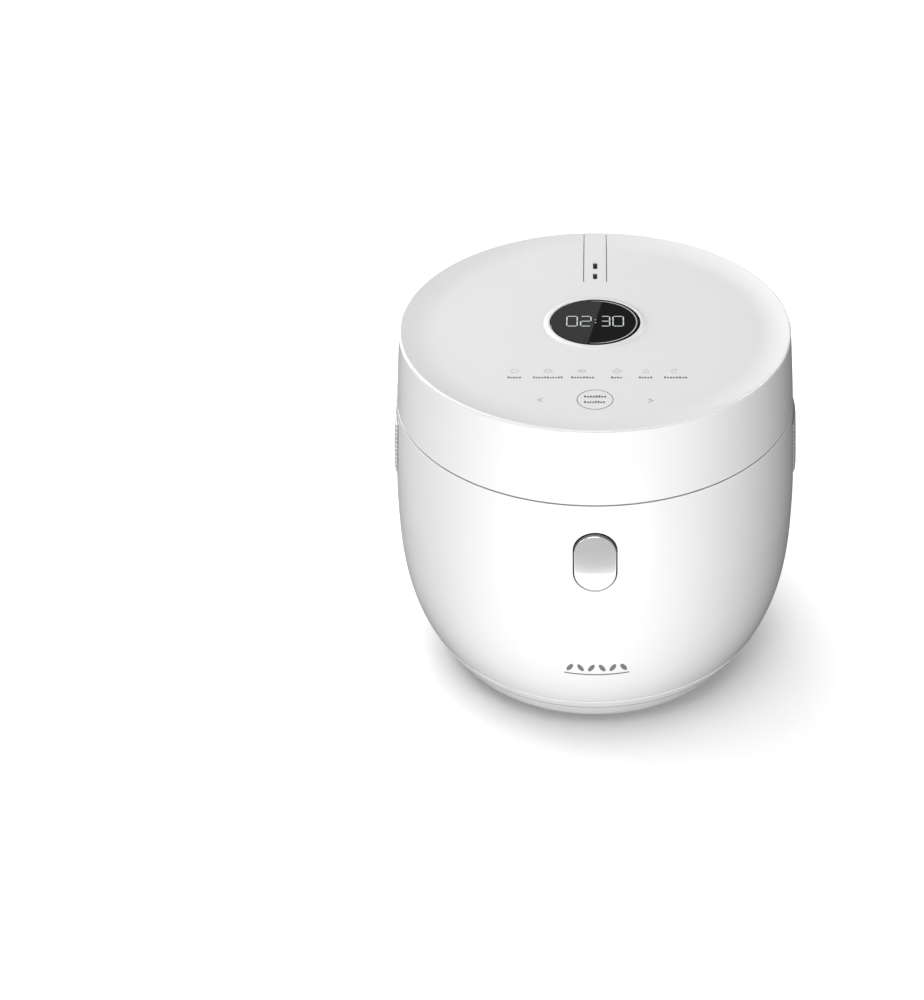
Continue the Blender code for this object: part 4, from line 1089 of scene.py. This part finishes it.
def lid_frame():
    """Inner tray of the lid with the hinge arm, the steam duct and the latch slot."""
    rim_r = room("lid_frame")[1].x
    low_z = 0.1906
    rim_z = 0.1970
    flange_z = 0.1928
    deck_z = 0.1978
    deck_top = 0.1998
    outline = [(rim_r, low_z), (rim_r, rim_z), (rim_r - 0.0020, rim_z)]
    outline += [(rim_r - 0.0020, flange_z), (0.1092, flange_z), (0.1080, deck_top)]
    outline += [(0.0120, deck_top), (0.0120, deck_z), (0.1060, deck_z), (0.1074, low_z)]
    tray = fine(turned(rounded(outline, 0.0005)), "lid_frame")

    y, z = at = (HINGE_AT.y, HINGE_AT.z)
    half_w = 0.0095
    arm_low = 0.1912
    arm_top = 0.1948
    arm = [(0.1140, arm_low), (0.1140, arm_top), (y - 0.001, arm_top), (y + 0.0035, arm_low)]
    arm += [(y + KNUCKLE_R, z), (y - KNUCKLE_R, z), (y - KNUCKLE_R, arm_low)]
    knuckle = softened(rod(KNUCKLE_R, -half_w, half_w, at, "X", 64), 0.0006)
    add(tray, softened(prism(arm, -half_w, half_w, "X"), 0.0006), knuckle)
    cut(tray, rod(0.0022, -0.015, 0.015, at, "X"))

    duct = middle("steam_seal")
    add(tray, rod(0.0070, 0.1990, 0.2038, (duct.x, duct.y)))
    slot = rounded(rectangle((-0.0105, -0.1215), (0.0105, -0.1088)), 0.0010)
    cut(tray, rod(0.0042, 0.190, 0.210, (duct.x, duct.y)), prism(slot, 0.1880, 0.1990))
    stands_for(tray)


def latch():
    """Hooked lever behind the button, and the bar that it holds."""
    low, high = room("latch_lever")
    at = (LATCH_AT.y, LATCH_AT.z)
    back = LATCH_AT.y + 0.0012
    front = LATCH_AT.y - 0.0012
    nose = back + 0.0017
    hook_z = 0.1948
    outline = [(front, low.z, 0.0004), (back, low.z, 0.0004), (back, hook_z, 0.0)]
    outline += [(nose, hook_z, 0.0002), (nose, hook_z + 0.0008, 0.0004)]
    outline += [(back, high.z, 0.0006), (front, high.z, 0.0008)]
    lever = fine(prism(rounded(outline, 0.0), low.x, high.x, "X"), "latch_lever")
    add(lever, rod(0.0026, low.x, high.x, at, "X"))
    cut(lever, rod(0.0013, -0.012, 0.012, at, "X"))
    stands_for(lever)

    low, high = room("latch_strike")
    at = middle("latch_strike")
    bar = rod((high.z - low.z) / 2, low.x, high.x, (at.y, at.z), "X", 32)
    stands_for(fine(softened(bar, 0.0002), "latch_strike"), even=True)


def inner_lid():
    """Pressed inner lid with shallow rings and its steam holes."""
    low, high = room("inner_lid")
    outer_r = high.x
    skin = 0.0010
    crown = 0.0035

    def height(r):
        z = low.z + crown * (1 - (r / outer_r) ** 2)
        for ring_r in (0.030, 0.052, 0.086):
            z += 0.0005 * math.exp(-(((r - ring_r) / 0.0016) ** 2))
        return z

    radii = spaced(0.0085, outer_r, 130)
    profile = [(r, height(r)) for r in radii] + [(r, height(r) + skin) for r in radii[::-1]]
    disc = fine(turned(profile), "inner_lid")
    centre = (0.0, middle("steam_seal").y)
    places = [polar(centre, 0.0060, 2 * math.pi * k / 6) for k in range(6)]
    cut(disc, gathered([rod(0.0015, 0.185, 0.200, place, count=24) for place in places]))
    stands_for(disc)


def inner_lid_fittings():
    """The gasket round the inner lid, its grommet in the middle and the lid's sensor."""
    gasket = [(0.0972, 0.1900), (0.1052, 0.1900), (0.1056, 0.1918), (0.1040, 0.1945)]
    gasket += [(0.0984, 0.1945), (0.0984, 0.1926), (0.1004, 0.1926), (0.1004, 0.1908)]
    gasket += [(0.0972, 0.1908)]
    grommet = [(0.0042, 0.1928), (0.0100, 0.1928), (0.0100, 0.1943), (0.0080, 0.1943)]
    grommet += [(0.0080, 0.1962), (0.0105, 0.1962), (0.0105, 0.1974), (0.0042, 0.1974)]
    sensor = [(0.0, 0.1915, 0.0), (0.0032, 0.1918), (0.0038, 0.1930), (0.0038, 0.2045)]
    sensor += [(0.0090, 0.2045), (0.0090, 0.2065), (0.0, 0.2065, 0.0)]
    stands_for(fine(turned(rounded(gasket, 0.0004)), "lid_gasket"))
    stands_for(fine(turned(rounded(grommet, 0.0004), 72), "inner_lid_grommet"))
    stands_for(fine(turned(rounded(sensor, 0.0005), 48), "lid_sensor"))


# Display and marks


def display():
    """Black window, its glowing digits and the fine progress arc round them."""
    top = DISPLAY_HIGH.z
    edge = 0.0004
    profile = [(0.0, DISPLAY_LOW.z), (DISPLAY_R, DISPLAY_LOW.z), (DISPLAY_R, top - edge)]
    profile += arc((DISPLAY_R - edge, top - edge), edge, 0, 90, 6)
    profile += [(DISPLAY_R * share, top) for share in spaced(0.95, 0.0, 12)]
    stands_for(fine(moved(turned(profile, 160), y=DISPLAY_Y), "display_window"))

    segments = []
    for digit, left in zip("02:30", (-0.0178, -0.0093, 0.0, 0.0034, 0.0107)):
        width = 0.0060 if digit == "3" else 0.0071
        segments += digit_segments(digit, left, 0.0002, width, 0.0126)
    lit("display_digits", segments, (0.86, 0.90, 0.92), 0.66)
    count = 90
    fade = 14
    widths = []
    for k in range(count):
        widths.append(0.00028 * smooth(k / fade) * smooth((count - 1 - k) / fade) + 0.00006)
    sweep = arc((0.0, DISPLAY_Y), DISPLAY_R * 0.925, 96, -98, count)
    lit("display_arc", [stroke(sweep, widths)], (0.72, 0.75, 0.78), 0.55)


def lit(name, outlines, colour, strength):
    """Glowing marks on the display's face."""
    glow = lit_segment(f"{name.removesuffix('s')}_glow", colour, strength)
    marks = flat_marks(outlines, DISPLAY_HIGH.z)
    fixed_to(as_object(marks, name), "lid", glow)


def digit_segments(digit, left, low, width, height):
    """Outlines of a seven-segment digit's lit bars, or of a colon's two dots."""
    if digit == ":":
        dots = [low + height * share for share in (0.36, 0.64)]
        return [rectangle((left - 0.0001, y - 0.0004), (left + 0.0006, y + 0.0004)) for y in dots]
    half = 0.00036
    pad = 0.0011
    right = left + width
    top = low + height
    above = low + height / 2 + pad * 0.5
    below = low + height / 2 - pad * 0.5
    bars = {
        "a": ((left + pad, top - half), (right - pad, top - half)),
        "b": ((right - half, above), (right - half, top - pad)),
        "c": ((right - half, low + pad), (right - half, below)),
        "d": ((left + pad, low + half), (right - pad, low + half)),
        "e": ((left + half, low + pad), (left + half, below)),
        "f": ((left + half, above), (left + half, top - pad)),
        "g": ((left + pad, low + height / 2), (right - pad, low + height / 2)),
    }
    shown = {"0": "abcdef", "2": "abged", "3": "abgcd"}[digit]
    return [bar_outline(*bars[name], half) for name in shown]


def bar_outline(start, end, half):
    """A thin bar with pointed ends, as display segments have."""
    a, b = Vector(start), Vector(end)
    way = (b - a).normalized()
    side = Vector((-way.y, way.x)) * half
    tip = way * half
    return [tuple(p) for p in (a - tip, a - side, b - side, b + tip, b + side, a + side)]


def stroke(points, widths):
    """Outline of a line along points. widths is half its width, one or one per point."""
    if not isinstance(widths, list):
        widths = [widths] * len(points)
    left, right = [], []
    for k, point in enumerate(points):
        before = Vector(points[max(k - 1, 0)])
        after = Vector(points[min(k + 1, len(points) - 1)])
        way = (after - before).normalized()
        side = Vector((-way.y, way.x)) * widths[k]
        left.append(tuple(Vector(point) + side))
        right.append(tuple(Vector(point) - side))
    return left + right[::-1]


def flat_marks(outlines, z=DISH_Z):
    """Thin flat bodies on a level surface, the lid's top unless z says otherwise."""
    return gathered([prism(outline, z + DECAL_H / 4, z + DECAL_H) for outline in outlines])


ICON_Y = -0.0510
LABEL_Y = -0.0583
ICON_X = (-0.0475, -0.0279, -0.0077, 0.0130, 0.0302, 0.0474)
LABEL_LOW_X = (-0.0516, -0.0366, -0.0142, 0.0094, 0.0259, 0.0406)
LABEL_HIGH_X = (-0.0437, -0.0192, -0.0006, 0.0159, 0.0336, 0.0542)
START_Y = -0.0824
START_R = 0.0104


def icon_strokes():
    """Six small generic programme pictures, each a few thin lines about (0, 0)."""
    bowl = [(-0.0022, 0.0004), (0.0022, 0.0004)]
    dish = arc((0.0, 0.0004), 0.0022, 180, 360, 14)
    steam = [[(x, 0.0010), (x + 0.0004, 0.0017), (x, 0.0024)] for x in (-0.0010, 0.0007)]
    leaf = arc((0.0, -0.0012), 0.0024, 30, 150, 12)
    under = arc((0.0, 0.0012), 0.0024, -150, -30, 12)
    drop = arc((0.0, -0.0006), 0.0013, 150, 390, 16)
    return (
        [arc((0.0, 0.0), 0.0018, 0, 360, 32)],
        [bowl, dish] + steam,
        [leaf, under, [(-0.0021, 0.0), (0.0021, 0.0)]],
        [bowl, dish, arc((0.0, 0.0016), 0.0008, 0, 180, 8)],
        [drop + [(0.0, 0.0022)] + drop[:1]],
        [arc((0.0, 0.0), 0.0018, 60, 300, 18), [(0.0, 0.0), (0.0012, 0.0016)]],
    )


def control_marks():
    """Programme pictures, plain bars in place of words, arrows and the start ring."""
    scale = 1.15
    icons = []
    for x, strokes in zip(ICON_X, icon_strokes()):
        for line in strokes:
            path = [(a * scale + x, b * scale + ICON_Y) for a, b in line]
            icons.append(stroke(path, 0.00016))
    labels = []
    for low_x, high_x in zip(LABEL_LOW_X, LABEL_HIGH_X):
        labels += word_bars(low_x, high_x, LABEL_Y, 0.0011)
    marks = []
    for side, x, y in ((-1, -0.0319, -0.0829), (1, 0.0323, -0.0834)):
        back = x - side * 0.0013
        path = [(back, y + 0.0017), (x + side * 0.0013, y), (back, y - 0.0017)]
        marks.append(stroke(path, 0.00026))
    for high_x, y in ((0.0064, -0.0792), (0.0056, -0.0852)):
        marks += word_bars(-0.0064, high_x, y, 0.0013)
    half = 0.00022
    low_z, high_z = DISH_Z + DECAL_H / 4, DISH_Z + DECAL_H
    section = rectangle((START_R - half, low_z), (START_R + half, high_z))

    faint = printed("printed_grey", (0.36, 0.36, 0.37), (0.42, 0.42, 0.43))
    dark = printed("printed_dark_grey", (0.12, 0.12, 0.123), (0.17, 0.17, 0.173))
    for name, bm, ink in (
        ("programme_icons", flat_marks(icons), faint),
        ("programme_labels", flat_marks(labels), dark),
        ("start_and_arrow_marks", flat_marks(marks), dark),
        ("start_ring", moved(turned(section, 96), y=START_Y), dark),
    ):
        fixed_to(as_object(bm, name), "lid", ink)


def word_bars(low_x, high_x, y, half_h):
    """A row of small plain blocks of uneven height where a label would be."""
    gap = 0.0005
    count = max(3, round((high_x - low_x) / 0.0016))
    width = (high_x - low_x - gap * (count - 1)) / count
    bars = []
    for k in range(count):
        left = low_x + k * (width + gap)
        top = y + half_h * (1.0, 0.45, 0.7, 0.45, 0.9)[k % 5]
        bars.append(rectangle((left, y - half_h * 0.75), (left + width, top)))
    return bars


def on_wall(outline, proud):
    """Wrap a flat (x, z) body onto the front wall."""
    rings = []
    for lift in (proud / 4, proud):
        ring = []
        for x, z in outline:
            radius = wall_r(z) + lift
            ring.append((x, -math.sqrt(radius * radius - x * x), z))
        rings.append(ring)
    return skinned(rings, capped=True)


def emblem():
    """A generic mark low on the front: a row of rice grains over a curved line."""
    centre_x, low_z = 0.0010, 0.0605
    wide = 0.0200
    path = []
    for x in spaced(-wide, wide, 40):
        path.append((centre_x + x, low_z + 0.0010 * (x / wide) ** 2))
    line = stroke(path, 0.00055)
    bodies = []
    for k in range(len(path) - 1):
        bodies.append(on_wall([line[k], line[k + 1], line[-k - 2], line[-k - 1]], DECAL_H))
    for k, x in enumerate(spaced(-0.0165, 0.0165, 6)):
        turn = math.radians(118 if k % 2 else 62)
        grain = []
        for a, b in circle(1.0, 28):
            along, across = a * 0.0034, b * 0.0015
            gx = along * math.cos(turn) - across * math.sin(turn)
            gz = along * math.sin(turn) + across * math.cos(turn)
            grain.append((centre_x + x + gx, low_z + 0.0062 + gz))
        bodies.append(on_wall(grain, DECAL_H))
    ink = printed("printed_emblem_grey", (0.15, 0.15, 0.153), (0.19, 0.19, 0.193))
    fixed_to(as_object(gathered(bodies), "front_emblem"), "root", ink)


def carried_over():
    """Give every CAD node that still shows its slot's procedural finish."""
    for name, node in frame["nodes"].items():
        if not node.hide_render:
            node.data.materials.clear()
            node.data.materials.append(FINISH[SLOT_OF[name]])


# Studio


def floor():
    """Pale seamless floor, bright enough in front to read as white paper."""
    bm = bmesh.new()
    bmesh.ops.create_grid(bm, x_segments=24, y_segments=24, size=9.0)
    mesh = bpy.data.meshes.new("studio_floor")
    bm.to_mesh(mesh)
    bm.free()
    item = bpy.data.objects.new("studio_floor", mesh)
    bpy.context.scene.collection.objects.link(item)
    finish = Finish("floor_paper", 0.9, Specular_IOR_Level=0.1, Emission_Color=(1.0, 1.0, 1.0, 1.0))
    finish.colours(finish.noise(3.0), (0.86, 0.86, 0.86), (0.87, 0.87, 0.87))
    glow = finish.carried(finish.coordinate("Y"), -1.00, -0.42, 0.0, 0.20, "SMOOTHSTEP")
    finish.fill(finish.shader, Emission_Strength=glow)
    item.data.materials.append(finish.material)
    item.visible_diffuse = False
    item.visible_glossy = False
    item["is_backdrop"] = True
    return item


def softbox(name, at, aim, size, power, only):
    """A rectangular studio light at one point, aimed at another, for some things only."""
    light = bpy.data.lights.new(name, "AREA")
    light.shape = "RECTANGLE"
    light.size, light.size_y = size
    light.energy = power
    item = placed(light, at, aim)
    item.light_linking.receiver_collection = only
    return item


def placed(data, at, aim):
    """An object for a light or camera at one point, aimed at another."""
    item = bpy.data.objects.new(data.name, data)
    item.location = at
    item.rotation_mode = "QUATERNION"
    item.rotation_quaternion = (Vector(aim) - Vector(at)).to_track_quat("-Z", "Y")
    bpy.context.scene.collection.objects.link(item)
    return item


def linked(name, items):
    """A collection for a light that should reach only some things."""
    group = bpy.data.collections.new(name)
    for item in items:
        group.objects.link(item)
    return group


def studio(paper):
    """Soft lights for the cooker, and a separate wash for the paper under it."""
    world = bpy.data.worlds.new("studio_world")
    bpy.context.scene.world = world
    world.use_nodes = True
    background = world.node_tree.nodes["Background"]
    background.inputs["Color"].default_value = (1.0, 1.0, 1.0, 1.0)
    background.inputs["Strength"].default_value = 0.13

    tops = ("lid_top_panel_fine", "steam_vent_cap_fine", "programme_icons")
    tops += ("programme_labels", "start_and_arrow_marks", "start_ring")
    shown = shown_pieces()
    face = bpy.data.objects["release_button_fine"]
    cooker = linked("cooker_only", shown)
    lid_top = linked("lid_top_only", [item for item in shown if item.name in tops])
    sides = linked("all_but_lid_top", [item for item in shown if item.name not in tops])
    button = linked("button_only", [face])
    lower = linked("sides_but_button", [item for item in sides.objects if item != face])
    window = linked("display_only", [bpy.data.objects["display_window_fine"]])
    ground = linked("paper_only", [paper])

    middle_at = (0.0, AXIS_Y, 0.12)
    rim_at = (0.0, AXIS_Y, HEIGHT)
    over_floor = (0.0, -0.2475, 0.01)
    softbox("front_key", (-0.12, -1.80, 0.75), middle_at, (0.9, 0.9), 28.6, cooker)
    softbox("front_left", (-1.20, -1.40, 0.65), middle_at, (0.8, 0.8), 7.5, sides)
    softbox("left_back", (-1.35, 1.30, 0.55), middle_at, (0.8, 0.8), 34.0, sides)
    softbox("right_fill", (1.75, -0.40, 0.65), middle_at, (1.0, 1.0), 5.0, sides)
    softbox("overhead", (-0.15, 0.15, 1.90), middle_at, (1.2, 1.2), 1.0, cooker)
    softbox("back_left", (-1.30, 1.20, 1.00), middle_at, (1.2, 1.0), 41.5, lid_top)
    softbox("back_right", (1.20, 1.30, 1.10), middle_at, (1.0, 1.0), 10.0, lid_top)
    softbox("rim_left", (-1.80, 0.10, 0.46), rim_at, (0.7, 0.4), 21.0, lid_top)
    softbox("rim_right", (1.80, 0.10, 0.46), rim_at, (0.7, 0.4), 15.0, lid_top)
    softbox("floor_bounce", (-0.06, -0.36, 0.004), (-0.02, -0.10, 0.07), (0.5, 0.1), 0.27, lower)
    softbox("button_card", over_floor, (0.0, -0.2475, 1.0), (0.5, 0.225), 0.59, button)
    softbox("paper_wash", (-0.90, 0.95, 1.90), middle_at, (1.8, 1.8), 21.0, ground)
    softbox("paper_top", (-0.10, 0.10, 2.20), middle_at, (2.4, 2.4), 66.5, ground)

    # A card that faces the floor, for the slanting bright part of the display's reflection.
    card_at = (-0.148, 1.409, 1.0375)
    card = softbox("display_card", card_at, (-0.148, 1.409, 0.0), (0.30, 0.50), 0.17, window)
    card.rotation_mode = "XYZ"
    card.rotation_euler = (0.0, 0.0, math.radians(-9.9))


def camera():
    """A long lens in front and above, with the cooker right of the picture's middle."""
    data = bpy.data.cameras.new("main_camera")
    data.sensor_width = 36.0
    data.lens = 66.33
    data.shift_x = -0.1331
    data.shift_y = -0.0190
    at = (0.0, AXIS_Y - 0.9820, 0.8081)
    bpy.context.scene.camera = placed(data, at, (0.0, AXIS_Y, HEIGHT / 2))


def build():
    outer_shell()
    base_cover()
    feet()
    base_screws()
    side_grips()
    release_button()
    power_inlet()
    hinge()
    hinge_cover()
    upper_collar()
    inner_pot()
    rice_basket()
    lid_ring()
    lid_top_panel()
    steam_vent()
    vent_gap_shade()
    steam_cup()
    lid_frame()
    latch()
    inner_lid()
    inner_lid_fittings()
    display()
    control_marks()
    emblem()
    carried_over()
    studio(floor())
    camera()


build()
bpy.context.scene.view_settings.view_transform = "Standard"
